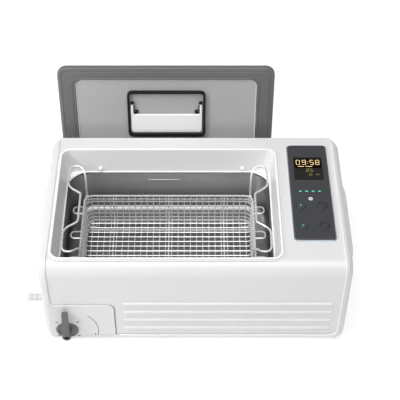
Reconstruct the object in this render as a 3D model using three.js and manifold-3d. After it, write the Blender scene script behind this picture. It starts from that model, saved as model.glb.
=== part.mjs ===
// A bench-top ultrasonic cleaner with a lift-out wire basket, a lift-off lid in a rear holder,
// a lever drain valve and a white moulded housing.
// Units are millimetres, +Z is up, +X is the operator's right and +Y points to the rear.
// Housing places are measured from the middle of the front face (X, Y) and from the worktop (Z).
import * as THREE from "three";
import { mergeVertices } from "three/addons/utils/BufferGeometryUtils.js";
import Module from "manifold-3d";

const wasm = await Module();
wasm.setup();

// ---- Driving dimensions ------------------------------------------------------------------
const GAP = 0.3; // clearance between touching pieces
const SEGMENTS = 5; // straight steps in a rounded corner

const HALF_WIDTH = 226;
const DEPTH = 278;
const BASE_Z = 8;
const TOP_Z = 174;
const WALL = 3;
const SEAM_X = 213.5; // joint between the middle cover and the end frames
const COVER_DROP = 1.6; // the middle cover lies this much below the end frames
const SILL_Z = 18;
const REAR_SEAM_Y = 272;
const FRONT_TOP_RADIUS = 23;
const REAR_PLAN_RADIUS = 28;
const EDGE_RADIUS = 10;
const BASE_CORNER = 20; // lower corners seen from the front

const RIB_RADIUS = 3;
const RIB_HEIGHTS = [93, 74, 55, 36];
const RIB_START_X = -106.8;
const RIB_END_X = 203.4;

const OPENING = { x: -41.7, y: 133, width: 331, depth: 220, radius: 13 };
const TANK = { width: 321.5, depth: 211, radius: 40, rim: 127, floor: 52, wall: 1 };
const WELL_Z = 129;

const PANEL = { x: 174.3, y: 153, width: 62, depth: 198, radius: 5 };
const DISPLAY = { x: 174, y: 198.5, width: 44, depth: 50 };
const BUTTON_X = [157.5, 189.6];
const BUTTON_Y = [80.8, 121];
const BUTTON_RADIUS = 7;
const LED_Y = 150.8;
const LED_X = [158.5, 168.2, 177.9, 187.6];

const DRAIN_PANEL = { right: -120, top: 90.5 };
const VALVE = { x: -192.6, y: 62, z: 32 };
const LEVER_LENGTH = 50;

const LID = { x: -45, width: 337, height: 220, thickness: 8, radius: 15, side: 27, edge: 22, recess: 2.5 };
const LID_TILT = THREE.MathUtils.degToRad(8);
const LID_FOOT = { y: 277.5, z: 67.5 }; // lower front edge of the stored lid
const BEZEL = { width: 123, height: 85, ring: 3.5, top: 178, front: -3.5 };
const BAIL = { width: 112, paddle: 33, bottom: 102.5, arm: 8, pivot: 154, y: -1, thickness: 4 };

const BASKET = { x: -41.7, y: 133, length: 265, width: 136, rim: 115, bottom: 57, radius: 12 };
const HANDLE_WIRE = 1.6;

const FOOT = { x: 188, front: 34, rear: 244, radius: 13 };

// ---- Colours ------------------------------------------------------------------------------
const finish = (color, roughness, metalness) => ({ color, roughness, metalness });
const WHITE = finish(0xf1f1ee, 0.32, 0);
const CHARCOAL = finish(0x46474b, 0.45, 0);
const BLACK = finish(0x17181a, 0.4, 0);
const STEEL = finish(0xc4c6c8, 0.22, 1);
const ALUMINIUM = finish(0xb4b7ba, 0.45, 1);
const RUBBER = finish(0x222222, 0.9, 0);
const LID_GREY = finish(0x6f7072, 0.4, 0);
const PANEL_GREY = finish(0xa9abad, 0.35, 0);
const BOARD_GREEN = finish(0x1f5a35, 0.6, 0);
const BRASS = finish(0xb79148, 0.35, 1);
const SILICONE = finish(0xb5502c, 0.7, 0);

// ---- Shapes and solids --------------------------------------------------------------------
// Rounded rectangle from (x0, y0) to (x1, y1); radii start at the lower left and run anticlockwise.
function roundedShape(x0, y0, x1, y1, radii) {
  const [a, b, c, d] = radii.map((r) => Math.max(r, 0.05));
  const shape = new THREE.Shape();
  shape.moveTo(x0 + a, y0);
  shape.lineTo(x1 - b, y0);
  shape.absarc(x1 - b, y0 + b, b, -Math.PI / 2, 0, false);
  shape.lineTo(x1, y1 - c);
  shape.absarc(x1 - c, y1 - c, c, 0, Math.PI / 2, false);
  shape.lineTo(x0 + d, y1);
  shape.absarc(x0 + d, y1 - d, d, Math.PI / 2, Math.PI, false);
  shape.lineTo(x0, y0 + a);
  shape.absarc(x0 + a, y0 + a, a, Math.PI, 1.5 * Math.PI, false);
  return shape;
}

const centredShape = (x, y, w, h, r) => roundedShape(x - w / 2, y - h / 2, x + w / 2, y + h / 2, [r, r,
  r, r]);

function polygonShape(points) {
  return new THREE.Shape(points.map(([x, y]) => new THREE.Vector2(x, y)));
}

function extruded(shape, depth, curveSegments = SEGMENTS) {
  return new THREE.ExtrudeGeometry(shape, { depth, bevelEnabled: false, curveSegments });
}

// A shape drawn in (X, Y) and drawn out along Z.
function alongZ(shape, z0, z1, segments) {
  return extruded(shape, z1 - z0, segments).translate(0, 0, z0);
}

// A shape drawn in (Y, Z) and drawn out along X.
function alongX(shape, x0, x1, segments) {
  const turn = new THREE.Matrix4().makeBasis(
    new THREE.Vector3(0, 1, 0),
    new THREE.Vector3(0, 0, 1),
    new THREE.Vector3(1, 0, 0),
  );
  return extruded(shape, x1 - x0, segments).applyMatrix4(turn).translate(x0, 0, 0);
}

// A shape drawn in (X, Z) and drawn out along Y.
function alongY(shape, y0, y1, segments) {
  return extruded(shape, y1 - y0, segments).rotateX(Math.PI / 2).translate(0, y1, 0);
}

function block(x0, y0, z0, x1, y1, z1) {
  const geometry = new THREE.BoxGeometry(x1 - x0, y1 - y0, z1 - z0);
  return geometry.translate((x0 + x1) / 2, (y0 + y1) / 2, (z0 + z1) / 2);
}

// A turned piece: points are [radius, height] pairs, and the axis is +Z before it is turned.
function turned(points, segments, axis = "z") {
  const profile = points.map(([r, h]) => new THREE.Vector2(r, h));
  const geometry = new THREE.LatheGeometry(profile, segments);
  geometry.rotateX(Math.PI / 2);
  if (axis === "x") geometry.rotateY(Math.PI / 2);
  if (axis === "y") geometry.rotateX(-Math.PI / 2);
  return geometry;
}

function disc(radius, h0, h1, segments, axis) {
  return turned([[0, h0], [radius, h0], [radius, h1], [0, h1]], segments, axis);
}

function weld(geometry) {
  const bare = geometry.index ? geometry.toNonIndexed() : geometry.clone();
  bare.deleteAttribute("normal");
  bare.deleteAttribute("uv");
  return mergeVertices(bare, 1e-4);
}

function solid(geometry) {
  const welded = weld(geometry);
  const mesh = new wasm.Mesh({
    numProp: 3,
    vertProperties: new Float32Array(welded.attributes.position.array),
    triVerts: new Uint32Array(welded.index.array),
  });
  return new wasm.Manifold(mesh);
}

function surface(manifold) {
  const mesh = manifold.getMesh();
  const geometry = new THREE.BufferGeometry();
  geometry.setAttribute("position", new THREE.BufferAttribute(new Float32Array(mesh.vertProperties), 3));
  geometry.setIndex(new THREE.BufferAttribute(new Uint32Array(mesh.triVerts), 1));
  return geometry;
}

const join = (...parts) => parts.map((p) => (p.isBufferGeometry ? solid(p) : p)).reduce((a, b) => a.add(b));
const cut = (base, ...tools) =>
  tools.reduce((a, b) => a.subtract(b.isBufferGeometry ? solid(b) : b),
    base.isBufferGeometry ? solid(base) : base);
const common = (...parts) =>
  parts.map((p) => (p.isBufferGeometry ? solid(p) : p)).reduce((a, b) => a.intersect(b));

// Joins rings of equal point count into one closed skin. With capped set, the first and last
// rings are closed by flat faces; without it the last ring runs on into the first.
function lofted(rings, capped) {
  const count = rings[0].length;
  const positions = rings.flat(2);
  const index = [];
  const steps = capped ? rings.length - 1 : rings.length;
  for (let r = 0; r < steps; r += 1) {
    const a = r * count;
    const b = ((r + 1) % rings.length) * count;
    for (let i = 0; i < count; i += 1) {
      const j = (i + 1) % count;
      index.push(a + i, a + j, b + j, a + i, b + j, b + i);
    }
  }
  if (capped) {
    const last = (rings.length - 1) * count;
    for (let i = 1; i < count - 1; i += 1) {
      index.push(0, i + 1, i);
      index.push(last, last + i, last + i + 1);
    }
  }
  const geometry = new THREE.BufferGeometry();
  geometry.setAttribute("position", new THREE.Float32BufferAttribute(positions, 3));
  geometry.setIndex(index);
  return geometry;
}

// The points of a rounded rectangle about (x, y) at height z, anticlockwise seen from above.
function ring(x, y, width, depth, radius, z, segments = SEGMENTS) {
  const points = [];
  const r = Math.max(radius, 0.5);
  const corners = [
    [x + width / 2 - r, y - depth / 2 + r, -90],
    [x + width / 2 - r, y + depth / 2 - r, 0],
    [x - width / 2 + r, y + depth / 2 - r, 90],
    [x - width / 2 + r, y - depth / 2 + r, 180],
  ];
  for (const [cx, cy, start] of corners) {
    for (let i = 0; i <= segments; i += 1) {
      const angle = THREE.MathUtils.degToRad(start + (90 * i) / segments);
      points.push([cx + r * Math.cos(angle), cy + r * Math.sin(angle), z]);
    }
  }
  return points;
}

const tankRing = (offset, z) =>
  ring(OPENING.x, OPENING.y, TANK.width + 2 * offset, TANK.depth + 2 * offset, TANK.radius + offset, z);
const openingRing = (offset, z) =>
  ring(OPENING.x, OPENING.y, OPENING.width + 2 * offset, OPENING.depth + 2 * offset,
    OPENING.radius + offset, z);

// A wire or pipe of the given cross-section along a list of points.
function swept(points, section, steps, closed = false) {
  const path = new THREE.CatmullRomCurve3(points.map((p) => new THREE.Vector3(...p)), closed,
    "catmullrom", 0.2);
  return new THREE.ExtrudeGeometry(section, { steps, extrudePath: path, bevelEnabled: false });
}

function circleShape(radius, sides, bore = 0) {
  const corner = (r, i) => new THREE.Vector2(
    r * Math.cos((2 * Math.PI * i) / sides),
    r * Math.sin((2 * Math.PI * i) / sides),
  );
  const loop = (r) => Array.from({ length: sides }, (_, i) => corner(r, i));
  const shape = new THREE.Shape(loop(radius));
  if (bore > 0) shape.holes.push(new THREE.Path(loop(bore)));
  return shape;
}

// ---- Assembly -----------------------------------------------------------------------------
const assembly = new THREE.Group();
const housing = new THREE.Group();
assembly.add(housing);

const lidGroup = new THREE.Group();
lidGroup.position.set(LID.x, LID_FOOT.y, LID_FOOT.z);
lidGroup.rotation.x = -LID_TILT;
housing.add(lidGroup);

function add(name, shape, look, group = housing, position = [0, 0, 0]) {
  const geometry = weld(shape.isBufferGeometry ? shape : surface(shape));
  const mesh = new THREE.Mesh(geometry, new THREE.MeshStandardMaterial(look));
  mesh.name = name;
  mesh.position.set(...position);
  group.add(mesh);
  return mesh;
}

// ---- Housing shells -----------------------------------------------------------------------
// The whole body with its rounded edges, shrunk by the given inset on every face.
function bodyBlock(inset) {
  const far = HALF_WIDTH + 10;
  const lessen = (radii) => radii.map((r) => Math.max(r - inset, 1));
  const side = roundedShape(inset, BASE_Z + inset, DEPTH - inset, TOP_Z - inset,
    lessen([3, 8, EDGE_RADIUS, FRONT_TOP_RADIUS]));
  const plan = roundedShape(-HALF_WIDTH + inset, inset, HALF_WIDTH - inset, DEPTH - inset,
    lessen([EDGE_RADIUS, EDGE_RADIUS, REAR_PLAN_RADIUS, REAR_PLAN_RADIUS]));
  const front = roundedShape(-HALF_WIDTH + inset, BASE_Z + inset, HALF_WIDTH - inset, TOP_Z - inset,
    lessen([BASE_CORNER, BASE_CORNER, EDGE_RADIUS, EDGE_RADIUS]));
  return common(alongX(side, -far, far), alongZ(plan, 0, TOP_Z + 10), alongY(front, -10, DEPTH + 10));
}

const frameShell = bodyBlock(0).subtract(bodyBlock(WALL));
const coverShell = bodyBlock(COVER_DROP).subtract(bodyBlock(COVER_DROP + WALL));

// Hand grips: a pocket in each end wall under a hood that swells out of it.
const GRIP = { front: 70, rear: 180, low: 92, mid: 112, high: 136, depth: 11.5, reach: 10 };

function endFrame(sign) {
  const slab = sign < 0
    ? block(-HALF_WIDTH - 5, -5, 0, -SEAM_X - GAP / 2, DEPTH + 5, TOP_Z + 5)
    : block(SEAM_X + GAP / 2, -5, 0, HALF_WIDTH + 5, DEPTH + 5, TOP_Z + 5);
  const span = (u0, v0, w0, u1, v1, w1) => {
    const [a, b] = sign < 0 ? [-u1, -u0] : [u0, u1];
    return block(a, v0, w0, b, v1, w1);
  };
  const out = HALF_WIDTH;
  const shroud = span(out - GRIP.depth - 2.5, GRIP.front - 3, GRIP.low - 3, out - 1, GRIP.rear + 3,
    GRIP.high + 3);
  const pocket = span(out - GRIP.depth, GRIP.front, GRIP.low, out + 5, GRIP.rear, GRIP.high);
  const hoodOuter = hood(out - 0.5, GRIP.front - 12, GRIP.rear + 12, 0);
  const hoodInner = hood(out - 1.5, GRIP.front, GRIP.rear, 3);
  const place = (geometry) => (sign < 0 ? geometry.rotateZ(Math.PI).translate(0, GRIP.front + GRIP.rear,
    0) : geometry);
  let frame = common(frameShell, slab);
  frame = join(frame, shroud, place(hoodOuter));
  return cut(frame, pocket, place(hoodInner));
}

// The hood's section in (X, Z) swells from the wall and ends in a flat lower lip.
function hood(x, y0, y1, inset) {
  const reach = GRIP.reach - inset;
  const low = inset > 0 ? GRIP.low - 1 : GRIP.mid - 8;
  const shape = new THREE.Shape();
  shape.moveTo(x, low);
  shape.lineTo(x + reach, low);
  shape.lineTo(x + reach, GRIP.mid + 4);
  shape.quadraticCurveTo(x + reach, GRIP.high - inset, x, GRIP.high + 18 - 4 * inset);
  shape.lineTo(x, low);
  return alongY(shape, y0, y1, 6);
}

const leftFrame = cut(endFrame(-1), disc(7.5, 0, 20, 16, "x").translate(-HALF_WIDTH - 10, VALVE.y,
  VALVE.z));
add("left_end_frame", leftFrame, WHITE);
add("right_end_frame", endFrame(1), WHITE);

function frontRib(z) {
  const length = RIB_END_X - RIB_START_X - 2 * RIB_RADIUS;
  const rib = new THREE.CapsuleGeometry(RIB_RADIUS, length, 2, 8);
  return rib.rotateZ(Math.PI / 2).translate((RIB_START_X + RIB_END_X) / 2, COVER_DROP + 0.4, z);
}

const coverCut = SEAM_X - GAP / 2;
let topCover = common(coverShell, block(-coverCut, -5, SILL_Z + GAP, coverCut, REAR_SEAM_Y, TOP_Z + 5));
topCover = cut(
  topCover,
  lofted([openingRing(2.6, TOP_Z - 20), openingRing(2.6, TOP_Z + 10)], true),
  block(PANEL.x - 26, PANEL.y - 93, TOP_Z - 20, PANEL.x + 26, PANEL.y + 93, TOP_Z + 5),
  block(-HALF_WIDTH, -5, 0, DRAIN_PANEL.right + GAP, 16, DRAIN_PANEL.top + GAP),
);
topCover = join(topCover, ...RIB_HEIGHTS.map(frontRib));
add("top_cover", topCover, WHITE);

const drainOutline = roundedShape(-coverCut, SILL_Z + GAP, DRAIN_PANEL.right, DRAIN_PANEL.top, [1, 1, 10,
  1]);
const drainPanel = cut(
  common(frameShell, alongY(drainOutline, -5, 14)),
  disc(6, -2, 10, 16, "y").translate(VALVE.x, 0, VALVE.z),
);
add("drain_panel", drainPanel, WHITE);

// The base pan has ventilation slots and four bosses for the generator board.
const BOARD = { x0: 131, x1: 205, y0: 62, y1: 202, z: 20, thickness: 1.6 };
const bossPlaces = [BOARD.x0 + 6, BOARD.x1 - 6].flatMap((x) => [[x, BOARD.y0 + 6], [x, BOARD.y1 - 6]]);
let basePan = common(frameShell, block(-coverCut, -5, 0, coverCut, DEPTH + 5, SILL_Z));
for (let i = 0; i < 6; i += 1) {
  basePan = cut(basePan, block(20 + 14 * i, 210, 0, 25 + 14 * i, 255, 30));
}
basePan = join(basePan, ...bossPlaces.map(([x, y]) => disc(3, BASE_Z + 2, BOARD.z - GAP, 8).translate(x,
  y, 0)));
add("base_pan", basePan, WHITE);

// ---- Rear panel and what it carries -------------------------------------------------------
const REAR_Y = DEPTH - COVER_DROP; // outside of the rear panel
const INLET = { x: 160, z: 46 };
const SWITCH = { x: 112, z: 46 };
const FUSE = { x: 197, z: 46 };
const FAN = { x: 165, z: 116, size: 60, depth: 15 };
let rearPanel = common(coverShell, block(-coverCut, REAR_SEAM_Y + GAP, SILL_Z + GAP, coverCut, DEPTH + 5,
  TOP_Z + 5));
rearPanel = cut(
  rearPanel,
  block(INLET.x - 13.8, 260, INLET.z - 10.3, INLET.x + 13.8, 290, INLET.z + 10.3),
  block(SWITCH.x - 7.8, 260, SWITCH.z - 10.8, SWITCH.x + 7.8, 290, SWITCH.z + 10.8),
  disc(6.3, 260, 290, 16, "y").translate(FUSE.x, 0, FUSE.z),
);
for (let i = 0; i < 6; i += 1) {
  const z = FAN.z - 25 + 10 * i;
  rearPanel = cut(rearPanel, block(FAN.x - 25, 260, z - 2.2, FAN.x + 25, 290, z + 2.2));
}
add("rear_panel", rearPanel, WHITE);

const inletPins = [-7, 0, 7].map((x, i) => block(x - 1, -16, (i === 1 ? 3 : -3) - 2, x + 1, -3,
  (i === 1 ? 3 : -3) + 2));
const inlet = join(
  cut(
    join(block(-13.5, -20, -10, 13.5, 0.5, 10), block(-25, GAP, -12, 25, 2.5, 12)),
    block(-11.5, -15, -7.5, 11.5, 5, 7.5),
  ),
  ...inletPins,
);
add("power_inlet", inlet, BLACK, housing, [INLET.x, REAR_Y, INLET.z]);

const switchHousing = cut(
  join(block(-7.5, -16, -10.5, 7.5, 0.5, 10.5), block(-9.5, GAP, -12.5, 9.5, 2, 12.5)),
  block(-6, -14, -9, 6, 5, 9),
);
add("power_switch_housing", switchHousing, BLACK, housing, [SWITCH.x, REAR_Y, SWITCH.z]);
const rockerOutline = polygonShape([[-6, -4], [-1, -7.4], [1.4, -7.4], [0.3, 0], [2.8, 7.4], [-1, 7.4],
  [-6, 4]]);
add("power_rocker", alongX(rockerOutline, -5.6, 5.6), BLACK, housing, [SWITCH.x, REAR_Y, SWITCH.z]);
const fuseCap = turned([[0, -20], [5, -20], [5, 0.6], [7.5, 0.6], [7.5, 4], [6, 7], [0, 7]], 14, "y");
add("fuse_cap", fuseCap, BLACK, housing, [FUSE.x, REAR_Y, FUSE.z]);

// Cooling fan behind the rear vents, on an axis along Y.
const FAN_Y = REAR_Y - WALL - GAP - FAN.depth;
const half = FAN.size / 2;
let fanFrame = cut(block(-half, 0, -half, half, FAN.depth, half), disc(28, -1, FAN.depth + 1, 20, "y"));
fanFrame = join(
  fanFrame,
  disc(9, 0, 2, 12, "y"),
  block(-29, 0, -1.5, 29, 2, 1.5),
  block(-1.5, 0, -29, 1.5, 2, 29),
);
add("fan_frame", fanFrame, BLACK, housing, [FAN.x, FAN_Y, FAN.z]);
const blades = Array.from({ length: 7 }, (_, i) => {
  const blade = new THREE.BoxGeometry(17, 1.4, 12).rotateX(0.7).translate(18.2, 8, 0);
  return blade.rotateY((2 * Math.PI * i) / 7);
});
add("fan_rotor", join(disc(11, 2.6, 13.4, 14, "y"), ...blades), CHARCOAL, housing, [FAN.x, FAN_Y, FAN.z]);

// ---- Lid holder -----------------------------------------------------------------------------
// A channel on each side of the rear panel takes the lid's lower edge at the lid's own tilt.
function lidPoint(back, up) {
  return [
    LID_FOOT.y + back * Math.cos(LID_TILT) + up * Math.sin(LID_TILT),
    LID_FOOT.z - back * Math.sin(LID_TILT) + up * Math.cos(LID_TILT),
  ];
}

const channelInner = LID.thickness + GAP;
const bracketOutline = polygonShape([
  [REAR_Y + GAP, 40],
  [282, 40],
  lidPoint(channelInner + 4, -8),
  lidPoint(channelInner + 4, 40),
  lidPoint(channelInner + 1.5, 44),
  lidPoint(channelInner, 42),
  lidPoint(channelInner, -GAP),
  [REAR_Y + GAP, LID_FOOT.z - 0.6],
]);
for (const [name, side] of [["lid_bracket_left", -1], ["lid_bracket_right", 1]]) {
  add(name, alongX(bracketOutline, -14, 14), WHITE, housing, [OPENING.x + 115 * side, 0, 0]);
}

// ---- Feet ---------------------------------------------------------------------------------
const footProfile = [[0, 0], [FOOT.radius - 2, 0], [FOOT.radius, 2], [FOOT.radius, BASE_Z - GAP], [0,
  BASE_Z - GAP]];
for (const [sideName, sign] of [["left", -1], ["right", 1]]) {
  for (const [endName, y] of [["front", FOOT.front], ["rear", FOOT.rear]]) {
    add(`foot_${endName}_${sideName}`, turned(footProfile, 16), RUBBER, housing, [FOOT.x * sign, y, 0]);
  }
}

// ---- Well and tank ------------------------------------------------------------------------
// The moulded surround: a raised lip on the cover, a drafted wall and a ledge over the tank rim.
const surround = lofted([
  tankRing(0.4, WELL_Z),
  tankRing(0.4, WELL_Z + 2),
  ring(OPENING.x, OPENING.y, TANK.width, TANK.depth, 14, WELL_Z + 2),
  openingRing(0, TOP_Z - 0.6),
  openingRing(0.8, TOP_Z + 0.4),
  openingRing(2.6, TOP_Z + 0.4),
  openingRing(3.6, TOP_Z - 0.4),
  openingRing(3.6, TOP_Z - COVER_DROP + GAP),
  openingRing(2.2, TOP_Z - COVER_DROP + GAP),
  ring(OPENING.x, OPENING.y, TANK.width + 5, TANK.depth + 5, 16, WELL_Z),
].reverse(), false);
add("tank_surround", surround, WHITE);

const gasket = lofted([
  tankRing(0.6, TANK.rim + GAP),
  tankRing(3.6, TANK.rim + GAP),
  tankRing(3.6, WELL_Z - GAP),
  tankRing(0.6, WELL_Z - GAP),
], false);
add("tank_gasket", gasket, RUBBER);

const drainHole = disc(5, TANK.floor - 10, TANK.floor + 5, 12).translate(-160, VALVE.y, 0);
const tankBody = lofted([
  tankRing(-14, TANK.floor - TANK.wall),
  tankRing(-3, TANK.floor + 2.5),
  tankRing(TANK.wall, TANK.floor + 13),
  tankRing(TANK.wall, TANK.rim - TANK.wall),
  tankRing(5, TANK.rim - TANK.wall),
  tankRing(5, TANK.rim),
  tankRing(0, TANK.rim),
  tankRing(0, TANK.floor + 13),
  tankRing(-3.8, TANK.floor + 3.6),
  tankRing(-14, TANK.floor),
], true);
add("tank", cut(tankBody, drainHole), STEEL);

const transducerProfile = [
  [0, 0], [22, 0], [22, -5], [16, -13], [16, -15], [19, -15.2], [19, -27], [16, -27.2], [16, -36], [4,
    -36], [4, -38], [0, -38],
].reverse();
[-126, -42, 42].forEach((x, i) => {
  add(`transducer_${i + 1}`, turned(transducerProfile, 12), ALUMINIUM, housing, [x, 134,
    TANK.floor - TANK.wall - GAP]);
});
const padDepth = OPENING.y - TANK.depth / 2 - TANK.wall - GAP;
add("heater_pad_front", block(-160, padDepth - 2, 70, 78, padDepth, 112), SILICONE);
const rearPad = OPENING.y + TANK.depth / 2 + TANK.wall + GAP;
add("heater_pad_rear", block(-160, rearPad, 70, 78, rearPad + 2, 112), SILICONE);
const sensorX = OPENING.x + TANK.width / 2 + TANK.wall + GAP;
const sensor = turned([[0, 0], [6, 0], [6, 2], [3, 3], [3, 7], [0, 7]], 12, "x");
add("temperature_sensor", sensor, BRASS, housing, [sensorX, 134, 86]);

// ---- Drain valve --------------------------------------------------------------------------
const BALL_RADIUS = 9;
const BORE_RADIUS = 4;
const valveHalf = 15;
const elbowEnd = VALVE.x + valveHalf + GAP;
const elbow = swept(
  [[-160, VALVE.y, TANK.floor - TANK.wall - GAP], [-160, VALVE.y, 42], [-164, VALVE.y, 34.5],
    [-170, VALVE.y, VALVE.z], [elbowEnd, VALVE.y, VALVE.z]],
  circleShape(6, 8, BORE_RADIUS), 9,
);
add("drain_elbow", elbow, BRASS);

const cavity = turned(
  Array.from({ length: 13 }, (_, i) => {
    const angle = -Math.PI / 2 + (Math.PI * i) / 12;
    return [Math.max(0, (BALL_RADIUS + 0.5) * Math.cos(angle)), (BALL_RADIUS + 0.5) * Math.sin(angle)];
  }), 20, "y");
const valveBody = cut(
  join(block(-valveHalf, -12, -12, valveHalf, 12, 12), disc(7, -20, -10, 16, "y")),
  cavity,
  disc(BORE_RADIUS, -20, 20, 12, "x"),
  disc(3.8, -25, -5, 16, "y"),
);
add("valve_body", valveBody, BRASS, housing, [VALVE.x, VALVE.y, VALVE.z]);

const ballProfile = Array.from({ length: 11 }, (_, i) => {
  const angle = Math.PI / 2 - (Math.PI * i) / 12;
  return [Math.max(0, BALL_RADIUS * Math.cos(angle)), BALL_RADIUS * Math.sin(angle)];
}).reverse();
const stemFront = -(VALVE.y + 13.5);
const ballAndStem = turned([[0, stemFront], [3, stemFront], [3, ballProfile[0][1]], ...ballProfile], 20,
  "y");
const ball = cut(ballAndStem, disc(BORE_RADIUS - 0.5, -20, 20, 12));
add("valve_ball_and_stem", ball, BRASS, housing, [VALVE.x, VALVE.y, VALVE.z]);

const barbProfile = [
  [3, 0], [5.6, 0], [5.6, -24], [5, -27], [6.4, -29], [5, -35], [6.4, -37], [5, -43], [6.4, -45], [4.6,
    -51],
  [3, -51], [3, 0],
].reverse();
add("outlet_barb", turned(barbProfile, 12, "x"), WHITE, housing, [VALVE.x - valveHalf - GAP, VALVE.y,
  VALVE.z]);

const escutcheonProfile = [[6, 0], [6, -2.6], [15, -2.6], [17, -1.6], [17, 0], [6, 0]];
add("drain_escutcheon", turned(escutcheonProfile, 20, "y"), CHARCOAL, housing, [VALVE.x, -GAP, VALVE.z]);

// The lever's hub slides over the stem; its arm stands up when the valve is closed.
const leverArm = alongY(roundedShape(-5.2, 0, 5.2, LEVER_LENGTH, [0.5, 0.5, 2, 2]), -10.5, -4, 3);
const lever = cut(
  join(disc(7, -16, -3.4, 16, "y"), leverArm),
  disc(3.3, -13.8, 0, 16, "y"),
  disc(3.6, -18, -14.6, 16, "y"),
);
const leverSeat = cut(lever, disc(1.8, -18, -10, 12, "y"));
add("drain_lever", leverSeat, CHARCOAL, housing, [VALVE.x, 0, VALVE.z]);
const screw = turned([[0, -16.6], [3.2, -16.6], [3.2, -14.9], [1.4, -14.9], [1.4, -14.1], [0, -14.1]],
  12, "y");
add("lever_screw", screw, STEEL, housing, [VALVE.x, 0, VALVE.z]);

// ---- Electronics ----------------------------------------------------------------------------
const boardTop = BOARD.z + BOARD.thickness + GAP;
add("generator_board", block(BOARD.x0, BOARD.y0, BOARD.z, BOARD.x1, BOARD.y1, BOARD.z + BOARD.thickness),
  BOARD_GREEN);
const fins = [];
for (let i = 0; i < 7; i += 1) fins.push(block(136 + 5 * i, 76, boardTop + 3, 138 + 5 * i, 156,
  boardTop + 34));
add("heat_sink", join(block(136, 76, boardTop, 168, 156, boardTop + 4), ...fins), ALUMINIUM);
const coil = block(174, 88, boardTop + 4, 200, 112, boardTop + 24);
add("transformer", join(block(172, 82, boardTop, 202, 118, boardTop + 3), coil,
  block(178, 82, boardTop, 196, 118, boardTop + 28)), BRASS);
add("capacitor", disc(11, boardTop, boardTop + 32, 16).translate(188, 146, 0), CHARCOAL);

// ---- Control panel ------------------------------------------------------------------------
const coverTop = TOP_Z - COVER_DROP;
const bezelShape = centredShape(0, 0, PANEL.width, PANEL.depth, PANEL.radius);
bezelShape.holes.push(centredShape(0, 0, 50, 184, 2));
add("panel_bezel", alongZ(bezelShape, 0, 1.6), ALUMINIUM, housing, [PANEL.x, PANEL.y, coverTop + GAP]);

const FASCIA_Z = coverTop + GAP + 1.6 + GAP;
const fasciaShape = centredShape(PANEL.x, PANEL.y, PANEL.width - 2.4, PANEL.depth - 2.4, PANEL.radius - 1);
fasciaShape.holes.push(centredShape(DISPLAY.x, DISPLAY.y, DISPLAY.width, DISPLAY.depth, 1.5));
for (const x of LED_X) fasciaShape.holes.push(centredShape(x, LED_Y, 6.6, 3.6, 0.4));
for (const x of BUTTON_X) {
  for (const y of BUTTON_Y) fasciaShape.holes.push(centredShape(x, y, 2 * BUTTON_RADIUS + 1,
    2 * BUTTON_RADIUS + 1, BUTTON_RADIUS + 0.45));
}
add("control_panel", alongZ(fasciaShape, FASCIA_Z, FASCIA_Z + 2.2, 4), CHARCOAL);

const windowShape = centredShape(DISPLAY.x, DISPLAY.y, DISPLAY.width - 0.6, DISPLAY.depth - 0.6, 1.2);
add("display_window", alongZ(windowShape, FASCIA_Z, FASCIA_Z + 1.8, 3), BLACK);
add("display_module", block(DISPLAY.x - 21, DISPLAY.y - 24, 161, DISPLAY.x + 21, DISPLAY.y + 24, 171),
  CHARCOAL);
const CONTROL_BOARD_Z = 157;
const switches = BUTTON_X.flatMap((x) => BUTTON_Y.map((y) => block(x - 3, y - 3, 158, x + 3, y + 3, 162)));
add("control_board", join(block(149, 66, CONTROL_BOARD_Z, 199, 240, CONTROL_BOARD_Z + 1.6), ...switches),
  BOARD_GREEN);
const stripBase = block(LED_X[0] - 4, LED_Y - 3, 171.6, LED_X[3] + 4, LED_Y + 3, FASCIA_Z - GAP);
const lightBars = LED_X.map((x) => block(x - 3, LED_Y - 1.5, 171.8, x + 3, LED_Y + 1.5, FASCIA_Z + 2));
add("indicator_light_pipe", join(stripBase, ...lightBars), finish(0x5ad35a, 0.3, 0));

const buttonProfile = [
  [0, 163], [2, 163], [2, 171], [8, 171], [8, FASCIA_Z - GAP - 0.9], [BUTTON_RADIUS, FASCIA_Z - GAP - 0.9],
  [BUTTON_RADIUS, FASCIA_Z + 2.4], [BUTTON_RADIUS - 1, FASCIA_Z + 3], [0, FASCIA_Z + 3],
];
const BUTTON_NAMES = [["button_minus", "button_timer"], ["button_heat", "button_start"]];
BUTTON_X.forEach((x, i) => {
  BUTTON_Y.forEach((y, j) => {
    add(BUTTON_NAMES[i][j], turned(buttonProfile, 14), CHARCOAL, housing, [x, y, 0]);
  });
});

// ---- Lid ----------------------------------------------------------------------------------
// Local axes: X across, Z up the lid from its lower edge, Y back from its front face.
const innerWidth = LID.width - 2 * LID.side;
const innerHeight = LID.height - 2 * LID.edge;
const frameShape = centredShape(0, LID.height / 2, LID.width, LID.height, LID.radius);
frameShape.holes.push(centredShape(0, LID.height / 2, innerWidth, innerHeight, 12));
const skirtHollow = alongY(centredShape(0, LID.height / 2, LID.width - 6, LID.height - 6, 12),
  LID.recess + 3, 20);
add("lid_frame", cut(alongY(frameShape, 0, LID.thickness), skirtHollow), LID_GREY, lidGroup);
const lidPanelShape = centredShape(0, LID.height / 2, innerWidth - 2 * GAP, innerHeight - 2 * GAP,
  12 - GAP);
add("lid_panel", alongY(lidPanelShape, LID.recess, LID.recess + 3), PANEL_GREY, lidGroup);

const bezelMid = BEZEL.top - BEZEL.height / 2;
const ringShape = centredShape(0, bezelMid, BEZEL.width, BEZEL.height, 8);
ringShape.holes.push(centredShape(0, bezelMid, BEZEL.width - 2 * BEZEL.ring,
  BEZEL.height - 2 * BEZEL.ring, 5));
add("handle_bezel", alongY(ringShape, BEZEL.front, LID.recess - GAP), BLACK, lidGroup);

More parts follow.
